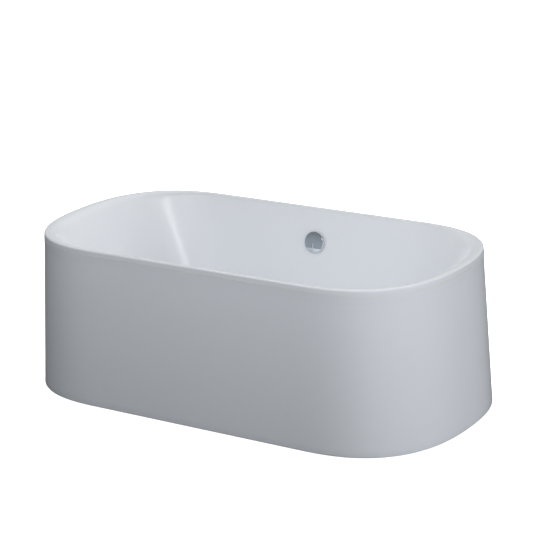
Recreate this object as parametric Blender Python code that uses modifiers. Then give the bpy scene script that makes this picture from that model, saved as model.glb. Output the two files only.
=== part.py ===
"""Freestanding double-ended bathtub: a basin shell bonded to a flared outer skirt, on a levelling steel frame,
with a turn-knob overflow that lifts the waste plug through a cable.

Metres, +Z up, +X along the tub. The origin is on the floor under the tub's centre. The overflow is on the +Y wall.
"""

import math

import bmesh
import bpy
from mathutils import Matrix, Vector

# Driving dimensions: the outside of the tub.
BASE_LENGTH = 1.700
BASE_WIDTH = 0.912
HEIGHT = 0.583
FLARE = 0.030  # how far the skirt's foot stands out past the rim, all the way round
END_SHARE = 0.483  # share of the half length that the rounded end takes up
END_EXPONENT = 2.5  # superellipse exponent of the ends: 2 is a true ellipse, and more is squarer
CORNER_SEGMENTS = 13
SIDE_CUTS = 5
SHEET = 0.005  # laminate thickness of both shells
GAP = 0.0004  # clearance between pieces that touch or are bonded
EDGE_RADIUS = 0.012  # outer roll of the rim
LIP_DEPTH = 0.026  # how far the basin's lip turns down outside
LIP_STEP = 0.001  # the lip stands this much proud of the skirt
SKIRT_LIFT = 0.002  # the skirt hangs just clear of the floor
SKIRT_RETURN = 0.018  # inward flange at the skirt's foot

# The wet inside: each wall is a rolled edge, a leaning wall and a fillet down to the floor.
FLOOR_Z = 0.162  # at the waste
FLOOR_FALL = 0.002
END_EDGE_INSET = 0.016
END_ROLL = 0.050
END_LEAN = math.radians(28)
END_FILLET = 0.160
SIDE_ROLL = 0.010
SIDE_LEAN = math.radians(9.5)
SIDE_FILLET = 0.120
ROLL_STEPS = 3
WALL_STEPS = 2
FILLET_STEPS = 4

# Frame.
TUBE = 0.025
TUBE_WALL = 0.002
BOARD_THICKNESS = 0.012
BOARD_HALF = (0.470, 0.240)
BOARD_HOLE_RADIUS = 0.055
LONG_RAIL_HALF = 0.440
LONG_RAIL_Y = 0.190
CROSS_RAIL_X = 0.400
CROSS_RAIL_HALF = 0.370
FRAME_SCREW_X = 0.300
BRACKET_SCREW_Y = 0.350

# Levelling feet.
FOOT_Y = 0.300
STUD_RADIUS = 0.0058
STUD_TOP = 0.140
PAD_RADIUS = 0.025
NUT_ACROSS_FLATS = 0.019
NUT_HEIGHT = 0.010

# Overflow, measured along its axis from the wet face of the wall: plus is into the tub.
OVERFLOW_Z = 0.455
OVERFLOW_HOLE_RADIUS = 0.026
KNOB_RADIUS = 0.0420
KNOB_FACE = 0.0130
BODY_BACK = -0.0300
SPINDLE_SIDE = 0.007
WHEEL_RADIUS = 0.0125
WHEEL_GROOVE_RADIUS = 0.0105

# Waste.
WASTE_HOLE_RADIUS = 0.0290
NECK_SHOULDER = 0.0280
FLANGE_RADIUS = 0.035
NECK_OUTER = 0.0235
NECK_INNER = 0.0205
CUP_OUTER = 0.034
CUP_INNER = 0.031
CUP_BOTTOM = 0.098
SPIGOT_OUTER = 0.0105
SPIGOT_INNER = 0.0078
INLET_Z = 0.1145
STEM_RADIUS = 0.004
STEM_LENGTH = 0.034
PIVOT_Y = -0.022
LEVER_ARM = 0.022
LEVER_TIP_RADIUS = 0.003
CRANK_ARM = 0.030
LEVER_SWING = math.radians(32)
CRANK_X = 0.038
CABLE_X = 0.0445
SHAFT_RADIUS = 0.003
RUNNING_CLEARANCE = 0.0003

# Trap and hoses.
TRAP_RADIUS = 0.020
TRAP_WALL = 0.0025
TRAP_BEND = 0.038
TRAP_OUTLET_Z = 0.112
TRAP_OUTLET_X = -0.230
HOSE_RADIUS = 0.0125
HOSE_WALL = 0.0013
CABLE_RADIUS = 0.003

RIM_HALF_LENGTH = BASE_LENGTH / 2 - FLARE
RIM_HALF_WIDTH = BASE_WIDTH / 2 - FLARE
# A bevel's profile value that gives this superellipse exponent.
END_PROFILE = 2 ** (-2 / END_EXPONENT)

BOARD_TOP = FLOOR_Z - SHEET - GAP
BOARD_BOTTOM = BOARD_TOP - BOARD_THICKNESS
LONG_RAIL_Z = BOARD_BOTTOM - GAP - TUBE / 2
CROSS_RAIL_Z = LONG_RAIL_Z - TUBE - GAP
CROSS_RAIL_TOP = CROSS_RAIL_Z + TUBE / 2
CROSS_RAIL_BOTTOM = CROSS_RAIL_Z - TUBE / 2

for leftover in list(bpy.data.objects):
    bpy.data.objects.remove(leftover)

tub_parts = bpy.data.collections.new("freestanding_bathtub")
bpy.context.scene.collection.children.link(tub_parts)
cutters = bpy.data.collections.new("cutters")
cutters.hide_render = True
bpy.context.scene.collection.children.link(cutters)


# ---- Materials ----------------------------------------------------------------------------------------------


def material(name, colour, roughness, metallic=0.0):
    made = bpy.data.materials.new(name)
    made.use_nodes = True
    shader = made.node_tree.nodes["Principled BSDF"]
    shader.inputs["Base Color"].default_value = (*colour, 1)
    shader.inputs["Roughness"].default_value = roughness
    shader.inputs["Metallic"].default_value = metallic
    return made


ACRYLIC = material("white_acrylic", (0.86, 0.87, 0.88), 0.12)
LAMINATE = material("glass_fibre_laminate", (0.80, 0.78, 0.66), 0.60)
BOARD = material("resin_coated_board", (0.62, 0.48, 0.33), 0.70)
STEEL = material("galvanised_steel", (0.56, 0.57, 0.58), 0.40, 1.0)
CHROME = material("chrome", (0.78, 0.80, 0.82), 0.06, 1.0)
BRASS = material("brass", (0.72, 0.56, 0.28), 0.30, 1.0)
BLACK_PLASTIC = material("black_plastic", (0.03, 0.03, 0.03), 0.45)
WHITE_PLASTIC = material("white_plastic", (0.82, 0.82, 0.80), 0.40)
RUBBER = material("rubber", (0.05, 0.05, 0.05), 0.80)


# ---- Modelling helpers --------------------------------------------------------------------------------------


def keep(obj, look, parent=None, place=None, turn=None):
    """Puts a piece in the part's collection, with its material, place and parent."""
    for home in list(obj.users_collection):
        home.objects.unlink(obj)
    tub_parts.objects.link(obj)
    if look:
        obj.data.materials.clear()
        obj.data.materials.append(look)
    if parent:
        obj.parent = parent
    if place is not None:
        obj.location = place
    if turn is not None:
        obj.rotation_euler = turn
    return obj


def mesh_object(name, bm, look, **where):
    mesh = bpy.data.meshes.new(name)
    bm.to_mesh(mesh)
    bm.free()
    return keep(bpy.data.objects.new(name, mesh), look, **where)


def as_cutter(obj):
    """Makes an object a helper: hidden from the build and drawn as a wire."""
    for home in list(obj.users_collection):
        home.objects.unlink(obj)
    cutters.objects.link(obj)
    obj.hide_render = True
    obj.display_type = "WIRE"
    return obj


def solidify(obj, thickness):
    """Gives an open surface its thickness on the side away from its normals."""
    wall = obj.modifiers.new("wall", "SOLIDIFY")
    wall.thickness = thickness
    wall.offset = -1
    wall.use_even_offset = True


def smooth(obj, degrees=35):
    obj.data.shade_smooth()
    obj.data.set_sharp_from_angle(angle=math.radians(degrees))


def boolean(obj, tool, operation="DIFFERENCE"):
    cut = obj.modifiers.new(f"{operation.lower()}_{tool.name}", "BOOLEAN")
    cut.operation = operation
    cut.solver = "EXACT"
    cut.object = tool


def add_box(bm, size, centre):
    made = bmesh.ops.create_cube(bm, size=1)["verts"]
    bmesh.ops.scale(bm, vec=size, verts=made)
    bmesh.ops.translate(bm, vec=centre, verts=made)
    return made


def add_cylinder(bm, radius, start, end, sides=24, top_radius=None):
    """A capped cylinder, cone or prism from one point to another."""
    start, end = Vector(start), Vector(end)
    along = end - start
    turn = along.to_track_quat("Z", "Y").to_matrix().to_4x4()
    place = Matrix.Translation((start + end) / 2) @ turn
    made = bmesh.ops.create_cone(
        bm,
        cap_ends=True,
        segments=sides,
        radius1=radius,
        radius2=radius if top_radius is None else top_radius,
        depth=along.length,
        matrix=place,
    )
    return made["verts"]


def cylinder(name, radius, start, end, look, sides=24, **where):
    bm = bmesh.new()
    add_cylinder(bm, radius, start, end, sides)
    piece = mesh_object(name, bm, look, **where)
    smooth(piece)
    return piece


def cylinder_cutter(name, radius, ends, parent=None, sides=24):
    """One cutter made of one cylinder for each (start, end) pair; the cylinders don't meet."""
    bm = bmesh.new()
    for start, end in ends:
        add_cylinder(bm, radius, start, end, sides)
    return as_cutter(mesh_object(name, bm, None, parent=parent))


def turned(name, profile, look, steps=28, closed=False, **where):
    """A turned piece: profile is (radius, height) points that run down the outer side.
    A closed profile is a ring; an open one starts and ends on the axis."""
    bm = bmesh.new()
    points = [bm.verts.new((radius, 0, height)) for radius, height in profile]
    for first, second in zip(points, points[1:]):
        bm.edges.new((first, second))
    if closed:
        bm.edges.new((points[-1], points[0]))
    piece = mesh_object(name, bm, look, **where)
    screw = piece.modifiers.new("turn", "SCREW")
    screw.steps = screw.render_steps = steps
    screw.use_merge_vertices = True
    screw.merge_threshold = 0.00001
    screw.use_smooth_shade = True
    return piece


def ring_profile(inner, outer, bottom, top):
    return [(outer, top), (outer, bottom), (inner, bottom), (inner, top)]


def tube_curve(name, points, radius, bevel_resolution, filled):
    """A poly curve with a round section through the points."""
    curve = bpy.data.curves.new(name, "CURVE")
    curve.dimensions = "3D"
    curve.bevel_depth = radius
    curve.bevel_resolution = bevel_resolution
    curve.use_fill_caps = filled
    spline = curve.splines.new("POLY")
    spline.points.add(len(points) - 1)
    for spot, place in zip(spline.points, points):
        spot.co = (*place, 1)
    return bpy.data.objects.new(name, curve)


def hollow_tube(name, points, radius, wall, look):
    """A bent pipe with open ends: the curve's bare skin is made a mesh and given its wall inwards."""
    guide = tube_curve(name + "_guide", points, radius, 4, False)
    tub_parts.objects.link(guide)
    graph = bpy.context.evaluated_depsgraph_get()
    mesh = bpy.data.meshes.new_from_object(guide.evaluated_get(graph))
    bpy.data.objects.remove(guide)
    bm = bmesh.new()
    bm.from_mesh(mesh)
    bmesh.ops.remove_doubles(bm, verts=bm.verts, dist=0.00001)
    bmesh.ops.recalc_face_normals(bm, faces=bm.faces)
    face = bm.faces[0]
    nearest = min((Vector(p) for p in points), key=lambda p: (p - face.calc_center_median()).length)
    if face.normal.dot(face.calc_center_median() - nearest) < 0:
        bmesh.ops.reverse_faces(bm, faces=bm.faces)
    pipe = mesh_object(name, bm, look)
    solidify(pipe, wall)
    smooth(pipe)
    return pipe


def through(points, steps):
    """A smooth Catmull-Rom curve through the points, with this many steps between each two."""
    knots = [Vector(p) for p in points]
    knots = [2 * knots[0] - knots[1], *knots, 2 * knots[-1] - knots[-2]]
    found = []
    for a, b, c, d in zip(knots, knots[1:], knots[2:], knots[3:]):
        for k in range(steps):
            t = k / steps
            found.append(
                0.5 * ((2 * b) + (c - a) * t + (2 * a - 5 * b + 4 * c - d) * t**2 + (3 * b - a - 3 * c + d) * t**3)
            )
    return found + [knots[-2]]


# ---- The tub's plan and walls -------------------------------------------------------------------------------


def add_outline(bm, half_length, half_width, z):
    """The tub's plan as a loop of edges: a rectangle with superelliptic ends."""
    run = END_SHARE * half_length
    bmesh.ops.create_grid(bm, x_segments=1, y_segments=1, size=1)
    bmesh.ops.scale(bm, vec=(half_length, run, 1), verts=bm.verts)
    bmesh.ops.bevel(
        bm,
        geom=bm.verts[:],
        offset=run,
        offset_type="OFFSET",
        segments=CORNER_SEGMENTS,
        profile=END_PROFILE,
        affect="VERTICES",
    )
    bmesh.ops.remove_doubles(bm, verts=bm.verts, dist=0.0001)
    bmesh.ops.delete(bm, geom=bm.faces[:], context="FACES_ONLY")
    straight = [edge for edge in bm.edges if edge.calc_length() > half_length / 2]
    bmesh.ops.subdivide_edges(bm, edges=straight, cuts=SIDE_CUTS)
    bmesh.ops.scale(bm, vec=(1, half_width / run, 1), verts=bm.verts)
    bmesh.ops.translate(bm, vec=(0, 0, z), verts=bm.verts)
    return bm.edges[:]


def end_weight(x, half_length):
    """0 along the straight sides, rising to 1 at the middle of an end."""
    run = END_SHARE * half_length
    return min(1.0, max(0.0, (abs(x) - (half_length - run)) / run)) ** 2


def loft(rings):
    """A surface through rings of (half length, half width, height at the ends, height at the sides).
    Returns the mesh and the last ring's edges."""
    bm = bmesh.new()
    half_length, half_width, end_z, side_z = rings[0]
    edges = add_outline(bm, half_length, half_width, 0)
    verts = list(bm.verts)
    for next_length, next_width, end_z, side_z in [rings[0], *rings[1:]]:
        if (next_length, next_width, end_z, side_z) != rings[0]:
            made = bmesh.ops.extrude_edge_only(bm, edges=edges)["geom"]
            verts = [item for item in made if isinstance(item, bmesh.types.BMVert)]
            edges = [item for item in made if isinstance(item, bmesh.types.BMEdge)]
        for vert in verts:
            vert.co.x *= next_length / half_length
            vert.co.y *= next_width / half_width
            vert.co.z = side_z + (end_z - side_z) * end_weight(vert.co.x, next_length)
        half_length, half_width = next_length, next_width
    return bm, edges


def face_outwards(bm, outside):
    """Turns the surface so that its normals point to the side that the test face says."""
    bmesh.ops.recalc_face_normals(bm, faces=bm.faces)
    face = max(bm.faces, key=lambda found: abs(found.normal.dot(outside(found))))
    if face.normal.dot(outside(face)) < 0:
        bmesh.ops.reverse_faces(bm, faces=bm.faces)


def skin_at(z):
    """Half length and half width of the tub's outer skin at a height."""
    out = FLARE * (1 - z / HEIGHT)
    return RIM_HALF_LENGTH + out, RIM_HALF_WIDTH + out


def wall_profile(edge, roll, lean, fillet):
    """(half size, height) down one wet wall: over the roll, down the leaning wall and round the fillet."""
    turn = math.pi / 2 - lean
    points = []
    for step in range(ROLL_STEPS + 1):
        angle = turn * step / ROLL_STEPS
        points.append((edge - roll * math.sin(angle), HEIGHT - roll * (1 - math.cos(angle))))
    top_size, top_z = points[-1]
    floor_z = FLOOR_Z + FLOOR_FALL
    centre_z = floor_z + fillet
    foot_z = centre_z - fillet * math.sin(lean)
    foot_size = top_size - (top_z - foot_z) * math.tan(lean)
    for step in range(1, WALL_STEPS):
        share = step / WALL_STEPS
        points.append((top_size + (foot_size - top_size) * share, top_z + (foot_z - top_z) * share))
    centre_size = foot_size - fillet * math.cos(lean)
    for step in range(FILLET_STEPS + 1):
        angle = lean + turn * step / FILLET_STEPS
        points.append((centre_size + fillet * math.cos(angle), centre_z - fillet * math.sin(angle)))
    return points


END_PROFILE_POINTS = wall_profile(RIM_HALF_LENGTH - END_EDGE_INSET, END_ROLL, END_LEAN, END_FILLET)
SIDE_PROFILE_POINTS = wall_profile(RIM_HALF_WIDTH - EDGE_RADIUS, SIDE_ROLL, SIDE_LEAN, SIDE_FILLET)


def side_wall_y(z):
    """Where the straight stretch of the long wall's wet face is at a height."""
    top_size, top_z = SIDE_PROFILE_POINTS[ROLL_STEPS]
    return top_size - (top_z - z) * math.tan(SIDE_LEAN)


# The overflow's own frame: its Z is the wall's normal into the tub, and its Y runs up the wall.
OVERFLOW_PLACE = (0, side_wall_y(OVERFLOW_Z), OVERFLOW_Z)
OVERFLOW_TURN = (math.pi / 2 - SIDE_LEAN, 0, 0)
OVERFLOW_MATRIX = Matrix.Translation(OVERFLOW_PLACE) @ Matrix.Rotation(OVERFLOW_TURN[0], 4, "X")
overflow_axis = bpy.data.objects.new("overflow_axis", None)
tub_parts.objects.link(overflow_axis)
overflow_axis.location = OVERFLOW_PLACE
overflow_axis.rotation_euler = OVERFLOW_TURN


# ---- Shells -------------------------------------------------------------------------------------------------


def basin_shell():
    """The wet shell: a lip outside, the rolled rim, the leaning walls and a floor that falls to the waste."""
    rings = []
    for height in (HEIGHT - LIP_DEPTH, HEIGHT - EDGE_RADIUS):
        rings.append((*skin_at(height), height, height))
    for step in range(1, ROLL_STEPS):
        angle = math.pi / 2 * step / ROLL_STEPS
        back = EDGE_RADIUS * (1 - math.cos(angle))
        height = HEIGHT - EDGE_RADIUS * (1 - math.sin(angle))
        rings.append((RIM_HALF_LENGTH - back, RIM_HALF_WIDTH - back, height, height))
    for (end_size, end_z), (side_size, side_z) in zip(END_PROFILE_POINTS, SIDE_PROFILE_POINTS):
        rings.append((end_size, side_size, end_z, side_z))
    rings.append((BOARD_HOLE_RADIUS, BOARD_HOLE_RADIUS, FLOOR_Z, FLOOR_Z))
    bm, edges = loft(rings)
    bmesh.ops.edgeloop_fill(bm, edges=edges)
    face_outwards(bm, lambda found: Vector((0, 0, 1)))
    shell = mesh_object("basin_shell", bm, ACRYLIC)
    solidify(shell, SHEET)
    smooth(shell)
    reach = 0.03
    boolean(shell, cylinder_cutter("waste_hole", WASTE_HOLE_RADIUS, [((0, 0, FLOOR_Z - reach), (0, 0, FLOOR_Z + reach))]))
    boolean(
        shell, cylinder_cutter("overflow_hole", OVERFLOW_HOLE_RADIUS, [((0, 0, -reach), (0, 0, reach))], overflow_axis)
    )


def outer_skirt():
    """The dry shell: a straight flare from under the lip to the floor, with a flange turned in at the foot."""
    top = HEIGHT - LIP_DEPTH - GAP
    foot_length, foot_width = (size - LIP_STEP for size in skin_at(SKIRT_LIFT))
    rings = [(foot_length - SKIRT_RETURN, foot_width - SKIRT_RETURN, SKIRT_LIFT, SKIRT_LIFT)]
    for height in (SKIRT_LIFT, (SKIRT_LIFT + top) / 2, top):
        length, width = skin_at(height)
        rings.append((length - LIP_STEP, width - LIP_STEP, height, height))
    bm, _ = loft(rings)
    face_outwards(bm, lambda found: found.calc_center_median() * Vector((1, 1, 0)))
    skirt = mesh_object("outer_skirt", bm, ACRYLIC)
    solidify(skirt, SHEET)
    smooth(skirt)


def bonding_strip():
    """The laminate strip behind the joint, which bonds the skirt to the basin's lip."""
    thickness = 0.003
    back = LIP_STEP + SHEET + 2 * GAP
    rings = []
    for height in (HEIGHT - LIP_DEPTH - 0.030, HEIGHT - LIP_DEPTH + 0.008):
        length, width = skin_at(height)
        rings.append((length - back, width - back, height, height))
    bm, _ = loft(rings)
    face_outwards(bm, lambda found: found.calc_center_median() * Vector((1, 1, 0)))
    strip = mesh_object("bonding_strip", bm, LAMINATE)
    solidify(strip, thickness)
    smooth(strip)


def base_board():
    """The resin-coated board under the floor, which spreads the load on to the frame."""
    half_length, half_width = BOARD_HALF
    bm, edges = loft([(half_length, half_width, BOARD_TOP, BOARD_TOP)])
    bmesh.ops.edgeloop_fill(bm, edges=edges)
    face_outwards(bm, lambda found: Vector((0, 0, 1)))
    board = mesh_object("base_board", bm, BOARD)
    solidify(board, BOARD_THICKNESS)
    holes = cylinder_cutter(
        "board_hole", BOARD_HOLE_RADIUS, [((0, 0, BOARD_BOTTOM - 0.01), (0, 0, BOARD_TOP + 0.01))], sides=32
    )
    boolean(board, holes)
    pilots = [((x, y, BOARD_BOTTOM - 0.01), (x, y, BOARD_TOP - 0.002)) for x, y in frame_screw_spots()]
    boolean(board, cylinder_cutter("board_pilots", 0.0026, pilots, sides=12))


# ---- Frame --------------------------------------------------------------------------------------------------


def signs():
    """Front left, front right, back left and back right, as signs of X and Y."""
    return [(-1, -1), (1, -1), (-1, 1), (1, 1)]


def frame_screw_spots():
    return [(sx * FRAME_SCREW_X, sy * LONG_RAIL_Y) for sx, sy in signs()]


def square_tube(name, start, end, holes_radius, holes):
    """A square steel tube with open ends, drilled right through for each (x, y) in holes."""
    bm = bmesh.new()
    middle = (Vector(start) + Vector(end)) / 2
    along = Vector(end) - Vector(start)
    turn = along.to_track_quat("Z", "Y").to_matrix().to_4x4() @ Matrix.Rotation(math.pi / 4, 4, "Z")
    bmesh.ops.create_cone(
        bm,
        cap_ends=False,
        segments=4,
        radius1=TUBE / math.sqrt(2),
        radius2=TUBE / math.sqrt(2),
        depth=along.length,
        matrix=Matrix.Translation(middle) @ turn,
    )
    face_outwards(bm, lambda found: found.calc_center_median() - middle)
    tube = mesh_object(name, bm, STEEL)
    solidify(tube, TUBE_WALL)
    ends = [((x, y, middle.z - TUBE), (x, y, middle.z + TUBE)) for x, y in holes]
    boolean(tube, cylinder_cutter(name + "_holes", holes_radius, ends, sides=16))
    return tube


def frame():
    for side, name in ((-1, "front"), (1, "back")):
        y = side * LONG_RAIL_Y
        spots = [spot for spot in frame_screw_spots() if spot[1] == y]
        square_tube(
            f"long_rail_{name}", (-LONG_RAIL_HALF, y, LONG_RAIL_Z), (LONG_RAIL_HALF, y, LONG_RAIL_Z), 0.0030, spots
        )
    for side, name in ((-1, "left"), (1, "right")):
        x = side * CROSS_RAIL_X
        spots = [(x, sign * y) for sign in (-1, 1) for y in (FOOT_Y, BRACKET_SCREW_Y)]
        square_tube(
            f"cross_rail_{name}",
            (x, -CROSS_RAIL_HALF, CROSS_RAIL_Z),
            (x, CROSS_RAIL_HALF, CROSS_RAIL_Z),
            STUD_RADIUS + RUNNING_CLEARANCE,
            spots,
        )


def frame_screws():
    """Hex-headed screws from under the long rails up into the board."""
    head_height = 0.0045
    head_top = LONG_RAIL_Z - TUBE / 2 - GAP
    for number, (x, y) in enumerate(frame_screw_spots(), 1):
        bm = bmesh.new()
        add_cylinder(bm, 0.0065, (0, 0, -head_height), (0, 0, 0), sides=6)
        screw = mesh_object(f"frame_screw_{number}", bm, STEEL, place=(x, y, head_top))
        shank_top = BOARD_TOP - 0.0025 - head_top
        shank = cylinder_cutter(f"frame_shank_{number}", 0.0022, [((0, 0, -0.002), (0, 0, shank_top))], screw, 12)
        boolean(screw, shank, "UNION")


def skirt_brackets():
    """Folded steel brackets that tie the foot of the skirt to the cross rails, each with its bolt."""
    thickness = 0.003
    width = 0.040
    seat_z = CROSS_RAIL_TOP + GAP
    rise = 0.050
    reach_low = skin_at(seat_z)[1] - LIP_STEP - SHEET - 0.0012
    reach_high = skin_at(seat_z + rise)[1] - LIP_STEP - SHEET - 0.0012
    for number, (sx, sy) in enumerate(signs(), 1):
        bm = bmesh.new()
        path = [(0.334, seat_z), (reach_low, seat_z), (reach_high, seat_z + rise)]
        verts = [bm.verts.new((-width / 2, y * sy, z)) for y, z in path]
        edges = [bm.edges.new(pair) for pair in zip(verts, verts[1:])]
        made = bmesh.ops.extrude_edge_only(bm, edges=edges)["geom"]
        moved = [item for item in made if isinstance(item, bmesh.types.BMVert)]
        bmesh.ops.translate(bm, vec=(width, 0, 0), verts=moved)
        # The faces look down and out, so the thickness goes up and in.
        face_outwards(bm, lambda found: Vector((0, 0, -1)))
        bracket = mesh_object(f"skirt_bracket_{number}", bm, STEEL, place=(sx * CROSS_RAIL_X, 0, 0))
        solidify(bracket, thickness)
        spot = (0, sy * BRACKET_SCREW_Y)
        hole = [((*spot, seat_z - 0.01), (*spot, seat_z + 0.01))]
        boolean(bracket, cylinder_cutter(f"bracket_hole_{number}", 0.0044, hole, bracket, 16))
        bolt_z = seat_z + thickness + GAP
        bm = bmesh.new()
        add_cylinder(bm, 0.0075, (0, 0, 0), (0, 0, 0.0055), sides=6)
        bolt = mesh_object(
            f"bracket_bolt_{number}", bm, STEEL, place=(sx * CROSS_RAIL_X, sy * BRACKET_SCREW_Y, bolt_z)
        )
        shank = cylinder_cutter(f"bolt_shank_{number}", 0.0040, [((0, 0, -0.034), (0, 0, 0.002))], bolt, 12)
        boolean(bolt, shank, "UNION")


def hex_nut(name, x, y, bottom):
    """A plain hexagon nut, bored to clear the stud's thread."""
    bm = bmesh.new()
    add_cylinder(bm, NUT_ACROSS_FLATS / math.sqrt(3), (0, 0, 0), (0, 0, NUT_HEIGHT), sides=6)
    nut = mesh_object(name, bm, STEEL, place=(x, y, bottom))
    bore = [((0, 0, -0.005), (0, 0, NUT_HEIGHT + 0.005))]
    boolean(nut, cylinder_cutter(name + "_bore", STUD_RADIUS + RUNNING_CLEARANCE, bore, nut, 20))


def feet():
    """Four levelling feet: a pad, a threaded stud that turns in it, and a nut each side of the cross rail."""
    stud_foot = 0.0085
    for number, (sx, sy) in enumerate(signs(), 1):
        x, y = sx * CROSS_RAIL_X, sy * FOOT_Y
        turned(
            f"foot_pad_{number}",
            [
                (0, stud_foot - GAP),
                (STUD_RADIUS + RUNNING_CLEARANCE, stud_foot - GAP),
                (STUD_RADIUS + RUNNING_CLEARANCE, 0.020),
                (0.010, 0.020),
                (0.012, 0.010),
                (PAD_RADIUS - 0.001, 0.006),
                (PAD_RADIUS, 0.004),
                (PAD_RADIUS, 0),
                (0, 0),
            ],
            BLACK_PLASTIC,
            place=(x, y, 0),
        )
        bm = bmesh.new()
        add_cylinder(bm, STUD_RADIUS, (0, 0, stud_foot), (0, 0, STUD_TOP), sides=20)
        stud = mesh_object(f"foot_stud_{number}", bm, STEEL, place=(x, y, 0))
        drive = bmesh.new()
        add_cylinder(drive, 0.0090, (0, 0, 0.0225), (0, 0, 0.0325), sides=6)
        hexagon = as_cutter(mesh_object(f"stud_hexagon_{number}", drive, None, parent=stud))
        boolean(stud, hexagon, "UNION")
        hex_nut(f"weld_nut_{number}", x, y, CROSS_RAIL_BOTTOM - GAP - NUT_HEIGHT)
        hex_nut(f"lock_nut_{number}", x, y, CROSS_RAIL_TOP + GAP)


# ---- Overflow -----------------------------------------------------------------------------------------------


def overflow_rosette():
    """Chrome collar on the wet face, with a neck that screws into the body behind the wall."""
    turned(
        "overflow_rosette",
        [
            (0.0235, 0.0032),
            (0.0340, 0.0030),
            (0.0355, 0.0018),
            (0.0355, GAP),
            (0.0235, GAP),
            (0.0235, -0.0150),
            (0.0205, -0.0150),
            (0.0205, 0.0032),
        ],
        CHROME,
        closed=True,
        parent=overflow_axis,
    )


def overflow_knob():
    """The chrome turn-knob: a shallow domed cap, hollow behind, with a finger rib from its centre to its foot."""
    knob = turned(
        "overflow_knob",
        [
            (0, KNOB_FACE + 0.0025),
            (0.0150, KNOB_FACE + 0.0021),
            (0.0280, KNOB_FACE + 0.0010),
            (0.0370, KNOB_FACE - 0.0008),
            (0.0405, KNOB_FACE - 0.0028),
            (KNOB_RADIUS, KNOB_FACE - 0.0060),
            (KNOB_RADIUS - 0.0005, 0.0050),
            (KNOB_RADIUS - 0.0025, 0.0050),
            (KNOB_RADIUS - 0.0030, KNOB_FACE - 0.0065),
            (0.0340, KNOB_FACE - 0.0040),
            (0.0110, KNOB_FACE - 0.0030),
            (0.0090, 0.0045),
            (0, 0.0045),
        ],
        CHROME,
        steps=40,
        parent=overflow_axis,
    )
    bm = bmesh.new()
    rib_length, rib_width = 0.026, 0.006
    add_box(bm, (rib_width, rib_length, 0.007), (0, -rib_length / 2, KNOB_FACE + 0.0020))
    rib = as_cutter(mesh_object("knob_rib", bm, None, parent=overflow_axis))
    soften = rib.modifiers.new("soften", "BEVEL")
    soften.width = 0.0015
    soften.segments = 2
    boolean(knob, rib, "UNION")
    bm = bmesh.new()
    side = SPINDLE_SIDE + 2 * GAP
    add_box(bm, (side, side, 0.0075), (0, 0, 0.0045))
    boolean(knob, as_cutter(mesh_object("knob_socket", bm, None, parent=overflow_axis)))


def overflow_drive():
    """The square spindle behind the knob, and the grooved wheel that winds the cable in."""
    bm = bmesh.new()
    wheel_back = BODY_BACK + 0.0025 + 0.0012
    top = 0.0078
    add_box(bm, (SPINDLE_SIDE, SPINDLE_SIDE, top - wheel_back), (0, 0, (top + wheel_back) / 2))
    mesh_object("overflow_spindle", bm, BRASS, parent=overflow_axis)
    front = wheel_back + 0.008
    wheel = turned(
        "cable_wheel",
        [
            (0, front),
            (WHEEL_RADIUS, front),
            (WHEEL_RADIUS, front - 0.0025),
            (WHEEL_GROOVE_RADIUS, front - 0.0035),
            (WHEEL_GROOVE_RADIUS, wheel_back + 0.0035),
            (WHEEL_RADIUS, wheel_back + 0.0025),
            (WHEEL_RADIUS, wheel_back),
            (0, wheel_back),
        ],
        WHITE_PLASTIC,
        parent=overflow_axis,
    )
    bm = bmesh.new()
    side = SPINDLE_SIDE + 2 * GAP
    add_box(bm, (side, side, 0.020), (0, 0, (front + wheel_back) / 2))
    boolean(wheel, as_cutter(mesh_object("wheel_socket", bm, None, parent=overflow_axis)))


def overflow_body():
    """The plastic cup behind the wall: it clamps the gasket, holds the wheel and drains down its spigot."""
    front = -SHEET - 0.0034
    cup_outer, cup_inner, back_wall = 0.0280, 0.0255, 0.0025
    body = turned(
        "overflow_body",
        [
            (NECK_OUTER + GAP, front),
            (0.0350, front),
            (0.0350, front - 0.0030),
            (cup_outer, front - 0.0030),
            (cup_outer, BODY_BACK),
            (0, BODY_BACK),
            (0, BODY_BACK + back_wall),
            (cup_inner, BODY_BACK + back_wall),
            (cup_inner, front - 0.0060),
            (NECK_OUTER + GAP, front - 0.0060),
        ],
        BLACK_PLASTIC,
        steps=32,
        closed=True,
        parent=overflow_axis,
    )
    depth = OVERFLOW_SPIGOT_DEPTH
    spigot_end = (0, -OVERFLOW_SPIGOT_REACH, depth)
    spigot = cylinder_cutter("overflow_spigot", SPIGOT_OUTER, [((0, -0.0262, depth), spigot_end)], overflow_axis)
    boolean(body, spigot, "UNION")
    bore_end = (0, -OVERFLOW_SPIGOT_REACH - 0.01, depth)
    boolean(
        body, cylinder_cutter("overflow_spigot_bore", SPIGOT_INNER, [((0, -0.0150, depth), bore_end)], overflow_axis)
    )
    port = [((CABLE_PORT_X, -0.0130, depth), (CABLE_PORT_X, CABLE_PORT_END, depth))]
    boolean(body, cylinder_cutter("cable_port", 0.0050, port, overflow_axis, 16), "UNION")
    turned(
        "overflow_gasket",
        ring_profile(0.0245, 0.0345, front + GAP, -SHEET - GAP),
        RUBBER,
        closed=True,
        parent=overflow_axis,
    )


OVERFLOW_SPIGOT_DEPTH = -0.0205
OVERFLOW_SPIGOT_REACH = 0.060
CABLE_PORT_X = 0.0220
CABLE_PORT_END = -0.0250


# ---- Waste --------------------------------------------------------------------------------------------------


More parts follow.
